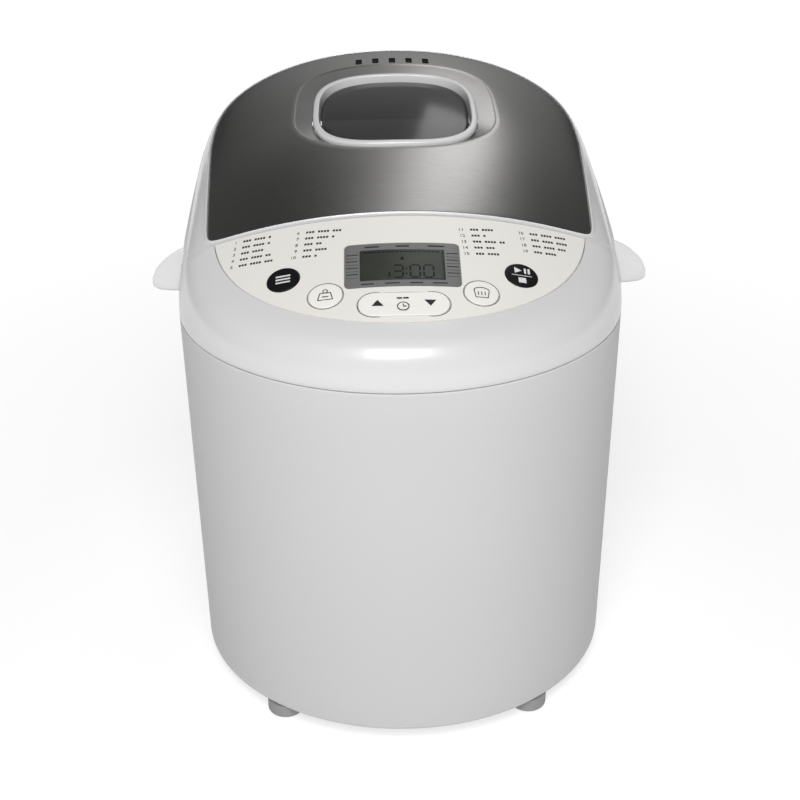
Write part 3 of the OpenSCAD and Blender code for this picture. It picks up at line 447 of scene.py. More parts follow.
oven_steel = surface("oven_steel", (0.44, 0.44, 0.43), (0.54, 0.54, 0.53), (0.3, 0.45), metallic=1.0,
                     cloud=25, grain=80, stretch=(1, 1, 20), bump=0.00001)
liner_steel = surface("liner_steel", (0.50, 0.50, 0.50), (0.60, 0.60, 0.60), (0.28, 0.42), metallic=1.0,
                      cloud=20, grain=70, stretch=(0.6, 20, 20), bump=0.00001)
nonstick = surface("nonstick", (0.028, 0.028, 0.030), (0.045, 0.045, 0.048), (0.34, 0.5), metallic=0.2,
                   cloud=60, grain=1300, bump=0.00004)
aluminium = surface("cast_aluminium", (0.46, 0.46, 0.46), (0.58, 0.58, 0.58), (0.38, 0.55), metallic=1.0,
                    cloud=50, grain=900, bump=0.00004)
bronze = surface("bronze", (0.36, 0.22, 0.09), (0.46, 0.30, 0.13), (0.35, 0.5), metallic=1.0, cloud=80,
                 grain=1800, bump=0.00004)
element_black = surface("element", (0.035, 0.033, 0.033), (0.07, 0.065, 0.06), (0.45, 0.65), metallic=0.6,
                        cloud=60, grain=900, bump=0.00003)
silicone = surface("silicone", (0.36, 0.35, 0.33), (0.42, 0.41, 0.385), (0.5, 0.65), cloud=20, grain=1500,
                   bump=0.00002)
board_green = surface("circuit_board", (0.01, 0.06, 0.03), (0.015, 0.09, 0.045), (0.3, 0.45), cloud=60,
                      grain=1500, bump=0.00002, coat=0.3)
motor_steel = surface("motor_steel", (0.20, 0.20, 0.20), (0.27, 0.27, 0.27), (0.35, 0.5), metallic=0.9,
                      cloud=40, grain=700, bump=0.00002)
smoked = tinted_glass("window_glass", (0.02, 0.02, 0.022), (0.10, 0.16), 0.9)
clear = tinted_glass("inner_glass", (0.6, 0.64, 0.63), (0.04, 0.08), 0.28)

BY_SLOT = {"base_plastic": base_plastic, "rubber": rubber, "screw_steel": chrome, "pearl_casing": pearl,
           "white_gloss": gloss_white, "cream_overlay": cream, "display_bezel": bezel_grey, "lcd": lcd_green,
           "circuit_board": board_green, "black_plastic": black_plastic, "black_key": black_key,
           "cream_key": cream_key, "brushed_steel": steel, "window_glass": smoked, "inner_glass": clear,
           "liner_steel": liner_steel, "silicone": silicone, "zinc_steel": zinc, "oven_steel": oven_steel,
           "element": element_black, "nonstick": nonstick, "cast_aluminium": aluminium,
           "bail_wire": bail_wire, "bronze": bronze, "black_rubber": black_rubber, "pulley_plastic": nylon,
           "motor_steel": motor_steel}
for part in frame["record"]["subparts"]:
    for holder in frame["nodes"][part["node"]].material_slots:
        holder.material = BY_SLOT[part["material_slot"]]


# ---- Casing ---------------------------------------------------------------------------------------

RINGS = 288
EVEN = even_angles(outline_r, RINGS)
SPLIT = math.radians(222.5)
SPLIT_GAP = 0.002
SPLIT_NEAR = 0.004
FOOT_R = 3.0
TOP_R = 1.0


def shrink(z):
    """The casing's draft: 1 at the seam, less towards the foot."""
    return 1 - DRAFT * (SEAM_Z - z) / (SEAM_Z - FOOT_H)


def casing_section(a):
    """Rounded foot, drafted wall and a small radius where the casing meets the top housing."""
    foot, top = FOOT_H, SEAM_Z - 0.3
    profile = fillet(-FOOT_R, foot + FOOT_R, FOOT_R, -90, 0, 7)
    profile += [(0, foot + (top - foot) * s) for s in (0.1, 0.3, 0.5, 0.7, 0.9)]
    profile += fillet(-TOP_R, top - TOP_R, TOP_R, 0, 90, 4)
    profile += [(-WALL, top), (-WALL, foot + 1.5), (-WALL - 1, foot)]
    return [at(outline_r(a) * shrink(z) + d, a, z) for d, z in profile]


def angles_between(start, end):
    """The even angles between two ends, without those too near an end."""
    inner = [a for a in EVEN + [b + 2 * math.pi for b in EVEN] if start + SPLIT_NEAR < a < end - SPLIT_NEAR]
    return [start] + inner + [end]


def casing_half(name, start, end):
    sections = [casing_section(a) for a in angles_between(start, end)]
    return build(name, *loft(sections, ring=False), "base", "pearl_casing", pearl)


front = casing_half("front_casing_skin", SPLIT + 1.1 * SPLIT_GAP, 3 * math.pi - SPLIT - 1.1 * SPLIT_GAP)
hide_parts("front_casing")

rear = casing_half("rear_casing_skin", math.pi - SPLIT, SPLIT - SPLIT_GAP)
inlet_lo, inlet_hi = node_box("cord_inlet")
inlet = (inlet_lo + inlet_hi) / 2
SLOT_PITCH = 9.0
SLOT_W = 3.0
SLOT_L = 50.0
SLOT_Z = 85.0
INLET_R = 6.5
BEHIND = -200.0
back = Matrix.Rotation(math.radians(90), 4, "X")
slot_outline = rounded_rect(SLOT_W, SLOT_L, 1.45, 6)
slots = [prism("vent_cut", [(x + i * SLOT_PITCH, y + SLOT_Z) for x, y in slot_outline], BEHIND, -140, back)
         for i in range(-5, 6)]
hole = [(inlet.x + INLET_R * math.cos(t), inlet.z + INLET_R * math.sin(t)) for t in turns(48)]
cut(rear, slots + [prism("inlet_cut", hole, BEHIND, -130, back)])
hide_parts("rear_casing")


# ---- Top housing ----------------------------------------------------------------------------------

def ease(y, start, end):
    """Smooth step from 0 to 1."""
    return math.sin(math.pi / 2 * min(1.0, max(0.0, (y - start) / (end - start)))) ** 2


def joint_z(y):
    """Height of the joint under the lid's edge: high at the panel, low along the sides, high at the rear."""
    return SIDE_RIM_Z + FRONT_RISE * (1 - ease(y, *FRONT_SWOOP)) + (RIM_Z - SIDE_RIM_Z) * ease(y, *REAR_SWOOP)


def housing_inner(a):
    """Inner edge of the top housing: the panel's arc in front, a gap round the lid elsewhere."""
    edge = lid_edge(a, -GAP)
    if math.sin(a) >= 0:
        return edge
    return max(edge, min(nose_hit(a, FASCIA_K), outline_r(a) - 0.3))


def housing_point(a, s):
    """Point of the top housing's skin, from the outline at s = 0 to its inner edge at s = 1."""
    outer = outline_r(a)
    r = outer - (outer - housing_inner(a)) * s * s
    x, y = r * math.cos(a), HUB_Y + r * math.sin(a)
    cap = joint_z(y)
    return (x, y, min(cap, max(SEAM_Z + (min(cap, RIM_Z) - SEAM_Z) * s, dome(x, y))))


def housing_section(a):
    outer, inner = outline_r(a), housing_inner(a)
    tip = housing_point(a, 1)
    under = max(SEAM_Z + 0.6, min(tip[2], housing_point(a, 0.6)[2]) - 3.4)
    step = min(5, under - SEAM_Z - 0.2)
    skin = [at(outer - 0.9, a, SEAM_Z), at(outer - 0.35, a, SEAM_Z + 0.2), at(outer - 0.05, a, SEAM_Z + 0.8)]
    skin += [housing_point(a, s) for s in [0.06 + 0.94 * i / 22 for i in range(23)]]
    below = [at(min(inner, outer - WALL), a, tip[2] - 1.6),
             at(min(inner + 0.2, outer - WALL - 0.1), a, under),
             at(outer - WALL - 0.32 * step, a, SEAM_Z + step), at(outer - WALL, a, SEAM_Z)]
    return skin + below


housing = build("top_housing_skin", *loft([housing_section(a) for a in EVEN]), "base", "white_gloss",
                gloss_white)
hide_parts("top_housing")


# ---- Lid ------------------------------------------------------------------------------------------

LID_EVEN = even_angles(lid_edge, RINGS)


def skirt_z(a):
    """Height of the lid's lower edge, lifted clear of the housing at the hinge."""
    y = HUB_Y + lid_edge(a) * math.sin(a)
    return min(RIM_Z, joint_z(y)) + 0.5 + HINGE_LIFT * ease(y, *HINGE_SWOOP)


def lid_frame_section(a):
    edge, inner, low = lid_edge(a), steel_edge(a, -0.3), skirt_z(a)
    span = edge - inner
    bead = min(2.6, span * 0.45)
    out = [at(edge - 0.7, a, low), at(edge - 0.2, a, low + 0.15), at(edge, a, low + 0.7)]
    for i in range(1, 17):
        p = on_dome(edge - (span - bead) * (i / 16) ** 2, a)
        out.append((p[0], p[1], max(p[2], low + 0.8 + i * 0.2)))
    for share, rise in ((0.8, 0.12), (0.6, 0.38), (0.42, 0.55), (0.25, 0.55), (0.1, 0.35), (0.02, 0.0),
                        (0, -0.5)):
        out.append(on_dome(inner + bead * share, a, -rise))
    last = Vector(on_dome(inner, a))
    out += [at(inner, a, last.z - 1.8), at(inner - 3.5, a, last.z - 2.4), at(inner - 3.5, a, last.z - 3.8),
            at(min(inner + 0.3, edge - WALL - 0.6), a, last.z - 4.4),
            at(edge - WALL, a, max(low + 1, last.z - 14)), at(edge - WALL, a, low)]
    return out


lid_frame = build("lid_frame_skin", *loft([lid_frame_section(a) for a in LID_EVEN]), "lid", "white_gloss",
                  gloss_white)
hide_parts("lid_frame")

window_lo, window_hi = node_box("window_ring")
WINDOW_W = window_hi.x
WINDOW_FRONT = HUB_Y - window_lo.y
WINDOW_BACK = window_hi.y - HUB_Y
WINDOW_POWERS = (2.8, 3.6)
RECESS_W = 56.0
RECESS_FRONT = 48.0
RECESS_BACK = 68.0
RECESS_POWERS = (2.2, 4)
RECESS_DROP = 1.9


def bowl_r(a, w, front_l, back_l, powers):
    """Distance from the hub to a rounded box with its own length and squareness in front and behind."""
    dx, dy = abs(math.cos(a)), math.sin(a)
    length, power = (front_l, powers[0]) if dy < 0 else (back_l, powers[1])
    return ((dx / w) ** power + (abs(dy) / length) ** power) ** (-1 / power)


def window_r(a, inset=0.0):
    return bowl_r(a, WINDOW_W - inset, WINDOW_FRONT - inset, WINDOW_BACK - inset, WINDOW_POWERS)


def recess_r(a):
    """Distance from the hub to the edge of the pressed recess round the window."""
    return bowl_r(a, RECESS_W, RECESS_FRONT, RECESS_BACK, RECESS_POWERS)


COVER_T = 0.8


def cover_section(a):
    outer, hole, recess = steel_edge(a), window_r(a, -0.3), recess_r(a)
    lip = min(0.8, (recess - hole) * 0.3)
    top = [on_dome(outer, a, 1.1), on_dome(outer - 0.12, a, 0.5), on_dome(outer - 0.4, a, 0.18)]
    top += [on_dome(outer + (recess + lip - outer) * s, a, 0.12)
            for s in [0.02 + 0.98 * i / 24 for i in range(24)]]
    top += [on_dome(recess + lip * s, a, 0.12 + 0.22 * (1 - s) ** 2) for s in (0.66, 0.33, 0)]
    top += [on_dome(recess + (hole - recess) * s, a, 0.34 + (RECESS_DROP - 0.2) * s)
            for s in [0.1 * i for i in range(1, 11)]]
    under = [on_dome(hole, a, 0.15 + RECESS_DROP + COVER_T)]
    under += [on_dome(outer + (recess - outer) * s, a, 0.15 + COVER_T) for s in (1, 0.7, 0.4, 0.05)]
    return top + under


cover = build("lid_cover_skin", *loft([cover_section(a) for a in LID_EVEN]), "lid", "brushed_steel", steel)
VENT_Y = 117.0
VENT_STEP = 10.0
VENT_W = 3.8
VENT_L = 11.0
vents = [[(x + i * VENT_STEP, y + VENT_Y) for x, y in rounded_rect(VENT_W, VENT_L, 0.8, 4)]
         for i in range(-2, 3)]
cut(cover, [prism("lid_vent_cut", v, 270, 310) for v in vents])
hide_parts("lid_cover")


def vent_well(outline):
    """Thin-walled cup under one vent."""
    floor_drop, under_drop, lip_drop = 6.6, 7.4, 1.1
    n = len(outline)
    cx = sum(p[0] for p in outline) / n
    cy = sum(p[1] for p in outline) / n

    def ring(grow, drop):
        return [(cx + (x - cx) * grow, cy + (y - cy) * grow, dome(x, y) - drop) for x, y in outline]
    rings = [ring(0.5, floor_drop), ring(0.97, floor_drop), ring(0.985, lip_drop), ring(1.2, lip_drop),
             ring(1.2, under_drop), ring(0.5, under_drop)]
    return plate((cx, cy, dome(cx, cy) - floor_drop), rings, (cx, cy, dome(cx, cy) - under_drop))


for i, v in enumerate(vents):
    build("vent_well_%d" % (i + 1), *vent_well(v), "lid", "black_plastic", black_plastic)


def ring_section(a):
    r0, r1, r2 = window_r(a, 0), window_r(a, 3.4), window_r(a, 4.4)
    outer_side = [(r0, 1.9), (r0 - 0.05, 0.3), (r0 - 0.3, -0.2), (r0 - 0.8, -0.45), (r0 - 1.6, -0.5)]
    inner_side = [(r1 + 0.6, -0.45), (r1 + 0.2, -0.25), (r1, 0.1), (r1 - 0.1, 0.6), (r2, 4.4), (r2 + 0.2, 7)]
    under = [(r0 - 0.6, 7), (r0 - 0.6, 3)]
    return [on_dome(r, a, d) for r, d in outer_side + inner_side + under]


RING_ANGLES = even_angles(window_r, 192)
window_ring = build("window_ring_skin", *loft([ring_section(a) for a in RING_ANGLES]), "lid", "white_gloss",
                    gloss_white)
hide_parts("window_ring")


GLASS_INSET = 4.8
GLASS_TOP = 3.4
GLASS_UNDER = 6.2


def glass_ring(scale, drop):
    return [on_dome(window_r(a, GLASS_INSET) * scale, a, drop) for a in RING_ANGLES]


glass_rings = [glass_ring(s, GLASS_TOP) for s in (0.2, 0.4, 0.6, 0.8, 0.95)]
glass_rings += [glass_ring(0.99, 3.5), glass_ring(1, 3.8)] + [glass_ring(s, GLASS_UNDER) for s in (1, 0.5)]
glass = build("window_glass_skin", *plate(on_dome(0, 0, GLASS_TOP), glass_rings, on_dome(0, 0, GLASS_UNDER)),
              "lid", "window_glass", smoked)
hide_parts("window_glass")


# ---- Lift tabs ------------------------------------------------------------------------------------

TAB_REACH = node_box("right_lift_tab")[1].x
TAB_LOW = 213.5
TAB_HIGH = 237.0
TAB_FRONT = -47.5


def dome_x(y, z):
    """How far out the lid's side is at a height, where a tab starts."""
    rise = (z - SEAM_Z) / (crown(y) - arch(HALF_W - 3) - SEAM_Z)
    return min(LID_W, HALF_W * (1 - max(0.0, rise) ** 2) ** (1 / ROLL_POWER)) + 0.05


def rounded_loop(corners, radius, count=5):
    """Rounds each corner of a closed polygon with a short curve."""
    out, n = [], len(corners)
    for i in range(n):
        p, c, q = Vector(corners[i - 1]), Vector(corners[i]), Vector(corners[(i + 1) % n])
        a = c + (p - c).normalized() * min(radius, (p - c).length * 0.45)
        b = c + (q - c).normalized() * min(radius, (q - c).length * 0.45)
        for k in range(count):
            t = k / (count - 1)
            out.append(a * (1 - t) ** 2 + c * 2 * t * (1 - t) + b * t * t)
    return out


def tab_section(s):
    """Section of the right tab, from its root at s = 0 to its tip at s = 1."""
    fore, hind, lean = TAB_FRONT + 3 * s * s, -36 * s, 4 * (1 - s)
    low = TAB_LOW + 2.5 * s**12
    high = TAB_HIGH - 14 * s**1.4 - 3.5 * s**10
    tall = high - low
    corners = [(fore + lean / 2 - 0.2, low + tall / 2), (fore + lean, high),
               (fore + lean + 0.06 * (hind - fore), high - 0.05 * tall),
               ((fore + hind) / 2, low + 0.42 * tall), (hind, low), (fore, low)]
    loop = rounded_loop(corners, min(2.2, 0.4 * tall))
    return [(dome_x(y, z) * (1 - s) + (TAB_REACH - 0.05) * s, y, z) for y, z in loop]


TAB_STEPS = 22
for side, name in ((1, "right_lift_tab"), (-1, "left_lift_tab")):
    rows = [[(side * x, y, z) for x, y, z in tab_section(math.sin(math.pi / 2 * i / TAB_STEPS))]
            for i in range(TAB_STEPS + 1)]
    tip = [sum(c) / len(rows[-1]) for c in zip(*rows[-1])]
    for shrunk, out in ((0.8, 0.0), (0.4, 0.04)):
        rows.append([(tip[0] + side * out, tip[1] + (y - tip[1]) * shrunk, tip[2] + (z - tip[2]) * shrunk)
                     for _, y, z in rows[TAB_STEPS]])
    piece = build(name + "_skin", *loft(rows, ring=False), "lid", "white_gloss", gloss_white, sharp=50)
    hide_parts(name)


# ---- Keys -----------------------------------------------------------------------------------------

def key_profile():
    """Crowned cap with a flange below the panel and a stem."""
    crowning, edge, flange_r, stem_r = 0.12, 0.35, KEY_R + 1, 1.6
    flange_top, flange_low, stem_low = -2.7, -4, -9.6
    crown_points = [(KEY_R * s, KEY_PROUD - crowning * s * s) for s in (0.3, 0.6, 0.85)]
    side = fillet(KEY_R - edge, KEY_PROUD - crowning - edge, edge, 90, 0, 5)
    below = [(KEY_R, flange_top), (flange_r, flange_top), (flange_r, flange_low), (stem_r, flange_low),
             (stem_r, stem_low), (0, stem_low)]
    return [(0, KEY_PROUD)] + crown_points + side + below


for name, (turn, up) in KEYS.items():
    tint = "black_key" if name in ("menu_button", "start_stop_button") else "cream_key"
    cap = build(name + "_cap", *lathe(key_profile()), name, tint, BY_SLOT[tint],
                matrix=panel_matrix(turn, up))
    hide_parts(name)


def pill(grow=0.0, per_corner=16):
    w, h = ROCKER_W + 2 * grow, ROCKER_H + 2 * grow
    return rounded_rect(w, h, h / 2 - 0.01, per_corner)


def rocker_ring(grow, height):
    return [panel_point(x, ROCKER_Y + y, height) for x, y in pill(grow)]


ROCKER_LOW = -2.6
ROCKER_EDGE = 0.35
rings = [rocker_ring(g, KEY_PROUD) for g in (-6.5, -4, -2, -0.8)]
rings += [rocker_ring(ROCKER_EDGE * (math.sin(t) - 1), KEY_PROUD + ROCKER_EDGE * (math.cos(t) - 1))
          for t in (0.0, 0.5, 1.05, 1.57)]
rings += [rocker_ring(0, ROCKER_LOW), rocker_ring(-3, ROCKER_LOW)]
rocker_skin = plate(panel_point(0, ROCKER_Y, KEY_PROUD), rings, panel_point(0, ROCKER_Y, ROCKER_LOW))
rocker = build("time_rocker_cap", *rocker_skin, "time_rocker", "cream_key", cream_key)
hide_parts("time_rocker")


# ---- Printing on the panel ------------------------------------------------------------------------

PRINT_HIGH = 0.1
PRINT_LOW = -0.06


class Print:
    """Thin raised shapes drawn in panel coordinates about a centre, gathered into one piece."""

    def __init__(self, arc=0.0, up=0.0, height=0.0, turn=0.0):
        self.arc, self.up, self.height = arc, up, height
        self.turn = math.radians(turn)
        self.points, self.faces = [], []

    def place(self, x, y, lift):
        c, s = math.cos(self.turn), math.sin(self.turn)
        self.points.append(panel_point(self.arc + x * c - y * s, self.up + x * s + y * c, self.height + lift))

    def solid(self, outline, high=PRINT_HIGH, low=PRINT_LOW):
        n, first = len(outline), len(self.points)
        for lift in (low, high):
            for x, y in outline:
                self.place(x, y, lift)
        self.faces += [tuple(first + i for i in reversed(range(n))), tuple(first + n + i for i in range(n))]
        for i in range(n):
            j = (i + 1) % n
            self.faces.append((first + i, first + j, first + n + j, first + n + i))

    def bar(self, x, y, w, h, **lift):
        self.solid([(x, y), (x + w, y), (x + w, y + h), (x, y + h)], **lift)

    def band(self, path, width, closed=True):
        """Ribbon along a path, as one short prism for each step."""
        n = len(path)
        for i in range(n if closed else n - 1):
            a, b = Vector(path[i]), Vector(path[(i + 1) % n])
            side = Vector((a.y - b.y, b.x - a.x)).normalized() * width / 2
            along = (b - a).normalized() * width * 0.15
            self.solid([tuple(a - side - along), tuple(b - side + along), tuple(b + side + along),
                        tuple(a + side - along)])

    def number(self, text, x, y, size):
        """Digits from the built-in font, right-aligned at x."""
        curve = bpy.data.curves.new("digits", "FONT")
        curve.body, curve.size, curve.align_x, curve.extrude = text, size, "RIGHT", 1.0
        obj = bpy.data.objects.new("digits", curve)
        bpy.context.scene.collection.objects.link(obj)
        bpy.context.view_layer.update()
        mesh = bpy.data.meshes.new_from_object(obj.evaluated_get(bpy.context.evaluated_depsgraph_get()))
        first = len(self.points)
        for v in mesh.vertices:
            self.place(x + v.co.x, y + v.co.y, PRINT_HIGH if v.co.z > 0 else PRINT_LOW)
        self.faces += [tuple(first + i for i in p.vertices) for p in mesh.polygons]
        bpy.data.objects.remove(obj)
        bpy.data.curves.remove(curve)
        bpy.data.meshes.remove(mesh)

    def make(self, name, slot, material, body="base"):
        return build(name, self.points, self.faces, body, slot, material)


def circle(r, count=48, cx=0.0, cy=0.0):
    return [(cx + r * math.cos(t), cy + r * math.sin(t)) for t in turns(count)]


# Programme lists: arc, height and slope of each column, its first number, and the width of each name
LISTS = [(-83.0, 81.0, -5.0, 1, [16, 15.5, 14.5, 17, 18]), (-50.3, 78.0, -5.0, 6, [19, 15, 9.5, 12.5, 7.5]),
         (31.2, 75.2, 6.0, 11, [13.5, 8.5, 16.5, 10.5, 13]), (61.8, 77.8, 5.0, 16, [20, 20.5, 18.5, 14.5])]
LINE_STEP = 4.45
BLOCK_STEP = 1.5
names = Print()
for x, y, slope, first, widths in LISTS:
    lines = Print(x, y, 0, slope)
    for i, width in enumerate(widths):
        lines.number(str(first + i), 0, -LINE_STEP * i, 2.9)
        for k in range(int(width / BLOCK_STEP)):
            if k % 5 != 3:
                lines.bar(3.2 + BLOCK_STEP * k, -LINE_STEP * i + 0.3, 1.1, 1.35)
    base = len(names.points)
    names.points += lines.points
    names.faces += [tuple(base + v for v in f) for f in lines.faces]
names.make("programme_list", "black_plastic", ink)

outlines = Print()
for turn, up in (KEYS["weight_button"], KEYS["colour_button"]):
    arc = math.radians(turn) * ARCH_R
    outlines.band([(arc + x, up + y) for x, y in circle(KEY_R + 0.55, 72)], 0.3)
outlines.band([(x, ROCKER_Y + y) for x, y in pill(0.55)], 0.3)
outlines.make("key_outlines", "display_bezel", grey_ink)

marks = Print(0, ROCKER_Y, KEY_PROUD)
marks.solid([(-15.2, -1.3), (-9.6, -1.3), (-12.4, 2.7)])
marks.solid([(9.6, 2.2), (12.4, -1.8), (15.2, 2.2)])
marks.band(circle(2.7, 36, -0.4, -2.0), 0.42)
marks.band([(-0.4, -0.4), (-0.4, -2.0), (1.0, -2.0)], 0.38, closed=False)
marks.bar(-3.4, 3.2, 2.6, 0.75)
marks.bar(-0.3, 3.2, 2.6, 0.75)
marks.make("time_marks", "black_plastic", ink, "time_rocker")


def key_print(name):
    """Print centred on a key's top."""
    turn, up = KEYS[name]
    return Print(math.radians(turn) * ARCH_R, up, KEY_PROUD)


menu = key_print("menu_button")
for y in (-2.6, -0.45, 1.7):
    menu.bar(-3.6, y, 7.2, 0.95)
menu.make("menu_mark", "white_gloss", pale_ink, "menu_button")

start = key_print("start_stop_button")
start.solid([(-3.4, 1.1), (0.2, 3.1), (-3.4, 5.1)])
start.bar(1.3, 1.3, 1.1, 3.6)
start.bar(3.2, 1.3, 1.1, 3.6)
start.bar(-5, -0.5, 10, 0.4)
start.solid([(-1.9, -5.4), (1.9, -5.4), (1.9, -1.9), (-1.9, -1.9)])
start.make("start_stop_mark", "white_gloss", pale_ink, "start_stop_button")

weight = key_print("weight_button")
weight.band([(-3.6, -2.9), (3.6, -2.9), (2.5, 1.7), (-2.5, 1.7)], 0.45)
weight.band(circle(1.1, 24, 0, 2.9), 0.42)
weight.bar(-1.5, -1.1, 3, 0.5)
weight.make("weight_mark", "black_plastic", ink, "weight_button")

colour = key_print("colour_button")
crust = [(3.7 * math.cos(t), 1.4 + 2.2 * math.sin(t)) for t in [math.pi * i / 14 - 0.25 for i in range(15)]]
colour.band([(-2.9, -3.2), (2.9, -3.2)] + crust, 0.42)
for x in (-1.6, 0, 1.6):
    colour.bar(x - 0.22, -1.6, 0.44, 2.4)
colour.make("colour_mark", "black_plastic", ink, "colour_button")


# ---- Display --------------------------------------------------------------------------------------

def dense(outline, step=1.5):
    """The same outline with its long edges cut into short steps, so that it can follow the arch."""
    out = []
    for (x0, y0), (x1, y1) in zip(outline, outline[1:] + outline[:1]):
        count = max(1, round(math.hypot(x1 - x0, y1 - y0) / step))
        out += [(x0 + (x1 - x0) * i / count, y0 + (y1 - y0) * i / count) for i in range(count)]
    return out


def panel_slab(name, shape, height, depth, slot, material, bevel=0.4):
    """Slab over the arch with a rounded top edge."""
    outline = dense(shape)
    cx = sum(x for x, _ in outline) / len(outline)
    cy = sum(y for _, y in outline) / len(outline)

    def ring(scale, inset, lift):
        out = []
        for x, y in outline:
            d = Vector((x - cx, y - cy))
            d = d * scale - d.normalized() * inset
            out.append(panel_point(cx + d.x, cy + d.y, lift))
        return out
    rows = [ring(s, bevel, height) for s in (0.1, 0.2, 0.3, 0.4, 0.5, 0.6, 0.7, 0.8, 0.9, 1)]
    rows += [ring(1, bevel * (1 - math.sin(t)), height - bevel * (1 - math.cos(t))) for t in (0.5, 1.0, 1.5)]
    rows += [ring(1, 0, height - depth), ring(0.5, 0, height - depth)]
    skin = plate(panel_point(cx, cy, height), rows, panel_point(cx, cy, height - depth))
    return build(name, *skin, "base", slot, material)


DISPLAY_W = 56.0
DISPLAY_H = 31.0
LCD_W = 41.0
LCD_H = 21.8
bezel = [(x, y + DISPLAY_Y) for x, y in rounded_rect(DISPLAY_W, DISPLAY_H, 3)]
pane = [(x, y + DISPLAY_Y - 0.2) for x, y in rounded_rect(LCD_W, LCD_H, 0.8)]
lens = panel_slab("display_bezel_skin", bezel, 0.12, 0.9, "display_bezel", bezel_grey, 0.25)
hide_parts("display_lens")
panel_slab("lcd_pane", pane, 0.2, 0.3, "lcd", lcd_green, 0.06)

screen = Print(0, 0, 0.2)
SEGMENTS = {"a": (0, 2, 0), "b": (1, 1, 1), "c": (1, 0, 1), "d": (0, 0, 0), "e": (0, 0, 1), "f": (0, 1, 1),
            "g": (0, 1, 0)}
DIGIT_W = 4.6
DIGIT_H = 8.6
DIGIT_Y = 40.0
STROKE = 0.85
SEGMENT_HIGH = 0.05


def digit(at_x, at_y, lit):
    """Draws the lit segments of one seven-segment figure."""
    for name in lit:
        col, row, upright = SEGMENTS[name]
        x, y = at_x + col * DIGIT_W, at_y + row * DIGIT_H / 2
        if upright:
            screen.bar(x - STROKE / 2, y + STROKE * 0.6, STROKE, DIGIT_H / 2 - STROKE * 1.2,
                       high=SEGMENT_HIGH)
        else:
            screen.bar(x + STROKE * 0.6, y - STROKE / 2, DIGIT_W - STROKE * 1.2, STROKE,
                       high=SEGMENT_HIGH)


for x, lit in ((-10.9, "c"), (-4.5, "abcdg"), (3.7, "abcdef"), (10.2, "abcdef")):
    digit(x, DIGIT_Y, lit)
for y in (42.2, 45.6):
    screen.bar(1.25, y, 0.9, 0.9, high=SEGMENT_HIGH)
screen.solid([(-1.3, 52.6), (1.3, 52.6), (0, 55.2)], high=SEGMENT_HIGH)
for i in range(17):
    screen.bar(-18.6 + i * 2.2, 58.0, 1.5, 0.9, high=SEGMENT_HIGH)
screen.make("lcd_segments", "black_plastic", lcd_dark)

legend = Print(0, 0, 0.12)
SIDE_BAR = 5.6
for y in (57.2, 52.5, 47.8, 43.2):
    for x in (-27, 21.4):
        legend.bar(x, y, SIDE_BAR, 0.55)
        legend.bar(x - 0.2, y - 2.3, SIDE_BAR + 0.4, 0.16)
for x, width in ((-18, 7), (-2.8, 6.4), (12.6, 8)):
    legend.bar(x, 62.0, width, 0.95)
for x, width in ((-20, 6), (-8.6, 7), (3.4, 6), (14.2, 7)):
    legend.bar(x, 35.8, width, 0.75)
legend.make("display_legend", "black_plastic", ink)


# ---- Camera, light and floor ----------------------------------------------------------------------

CAM_PITCH = math.radians(27.3)
CAM_TURN = math.radians(-1.2)
CAM_ROLL = math.radians(-0.58)
CAM_DISTANCE = 778.7
CAM_TARGET = Vector((-0.7, -50.0, 148.4))
CAM_LENS = 64.4
SENSOR = 36

back_dir = Vector((math.sin(CAM_TURN) * math.cos(CAM_PITCH), -math.cos(CAM_TURN) * math.cos(CAM_PITCH),
                   math.sin(CAM_PITCH)))
right_dir = Vector((math.cos(CAM_TURN), math.sin(CAM_TURN), 0))
up_dir = back_dir.cross(right_dir)
turned_right = math.cos(CAM_ROLL) * right_dir + math.sin(CAM_ROLL) * up_dir
turned_up = math.cos(CAM_ROLL) * up_dir - math.sin(CAM_ROLL) * right_dir
camera = bpy.data.objects.new("camera", bpy.data.cameras.new("camera"))
bpy.context.scene.collection.objects.link(camera)
camera.data.lens = CAM_LENS
camera.data.sensor_width = SENSOR
camera.matrix_world = Matrix.Translation((CAM_TARGET + CAM_DISTANCE * back_dir) * MM) @ Matrix(
    (turned_right, turned_up, back_dir)).transposed().to_4x4()
bpy.context.scene.camera = camera

KEY_POWER = 16.0
LEFT_POWER = 21.5
STRIP_POWER = 3.2
SKY = 0.05
BACK_GLOW = 0.5
GLOW_TOWARD = (0.06, 0.93, 0.35)
GLOW_CONE = (0.9, 1.0)
FLOOR_GLOW = (0.67, 1.15)
FLOOR_GLOW_FROM = (0.25, 1.6)
FLOOR = 6
FLOOR_Z = -0.0005

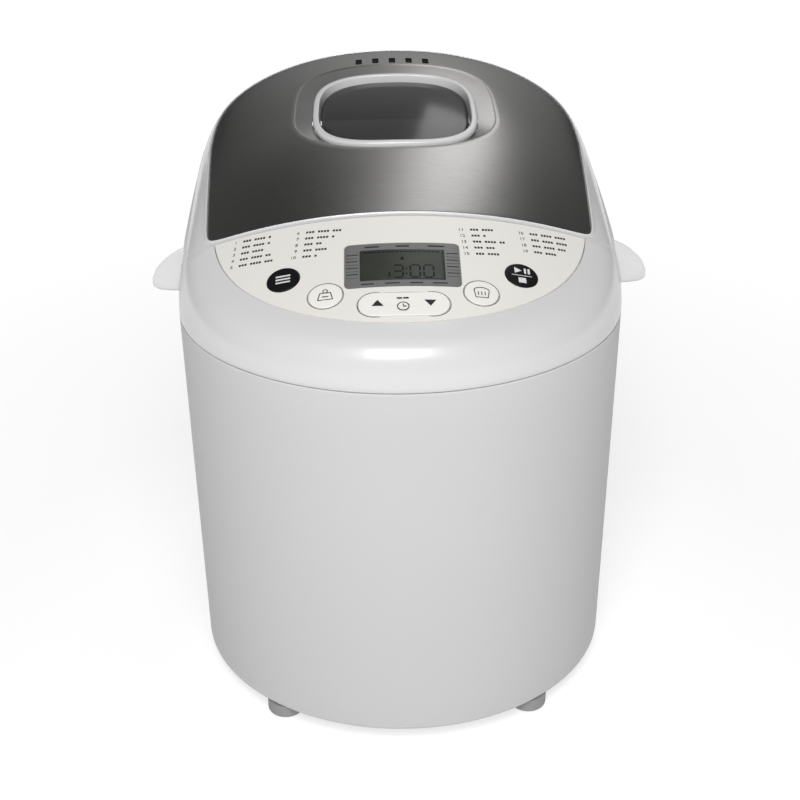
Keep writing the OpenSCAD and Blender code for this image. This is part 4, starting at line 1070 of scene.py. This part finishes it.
floor_mesh = bpy.data.meshes.new("floor")
floor_mesh.from_pydata([(x * FLOOR, y * FLOOR, FLOOR_Z) for x, y in ((-1, -1), (1, -1), (1, 1), (-1, 1))], [],
                       [(0, 1, 2, 3)])
floor = bpy.data.objects.new("floor", floor_mesh)
floor_mat = surface("floor", (0.36, 0.36, 0.36), (0.38, 0.38, 0.38), (0.7, 0.8), cloud=2, grain=200,
                    bump=0.00001, specular=0.0)
floor_tree = floor_mat.node_tree
floor_shader = floor_tree.nodes["Principled BSDF"]
floor_shader.inputs["Emission Color"].default_value = (1, 1, 1, 1)
place = floor_tree.nodes.new("ShaderNodeTexCoord")
distance = floor_tree.nodes.new("ShaderNodeVectorMath")
distance.operation = "LENGTH"
floor_tree.links.new(place.outputs["Object"], distance.inputs[0])
floor_tree.links.new(add_range(floor_mat, distance.outputs["Value"], *FLOOR_GLOW, source=FLOOR_GLOW_FROM),
                     floor_shader.inputs["Emission Strength"])
floor_mesh.materials.append(floor_mat)
bpy.context.scene.collection.objects.link(floor)


def area_light(name, origin, target, size, power):
    data = bpy.data.lights.new(name, "AREA")
    data.energy, data.shape = power, "RECTANGLE"
    data.size, data.size_y = size
    obj = bpy.data.objects.new(name, data)
    obj.location = origin
    obj.rotation_mode = "QUATERNION"
    obj.rotation_quaternion = (Vector(target) - Vector(origin)).to_track_quat("-Z", "Y")
    bpy.context.scene.collection.objects.link(obj)


area_light("key", (0.14, -1.3, 1.58), (0, -0.1, 0.15), (0.6, 1.0), KEY_POWER)
area_light("left_key", (-0.22, -1.3, 1.52), (0, -0.1, 0.15), (0.5, 1.0), LEFT_POWER)
area_light("strip", (0.26, 1.05, 1.56), (0, 0, 0.25), (0.38, 1.3), STRIP_POWER)

world = bpy.data.worlds.new("studio")
world.use_nodes = True
sky_tree = world.node_tree
sky = sky_tree.nodes["Background"]
sky.inputs["Color"].default_value = (1.0, 1.0, 1.0, 1)
toward = sky_tree.nodes.new("ShaderNodeTexCoord")
facing = sky_tree.nodes.new("ShaderNodeVectorMath")
facing.operation = "DOT_PRODUCT"
facing.inputs[1].default_value = GLOW_TOWARD
sky_tree.links.new(toward.outputs["Generated"], facing.inputs[0])
sky_tree.links.new(add_range(world, facing.outputs["Value"], SKY, BACK_GLOW, source=GLOW_CONE),
                   sky.inputs["Strength"])
bpy.context.scene.world = world
bpy.context.scene.view_settings.view_transform = "Standard"
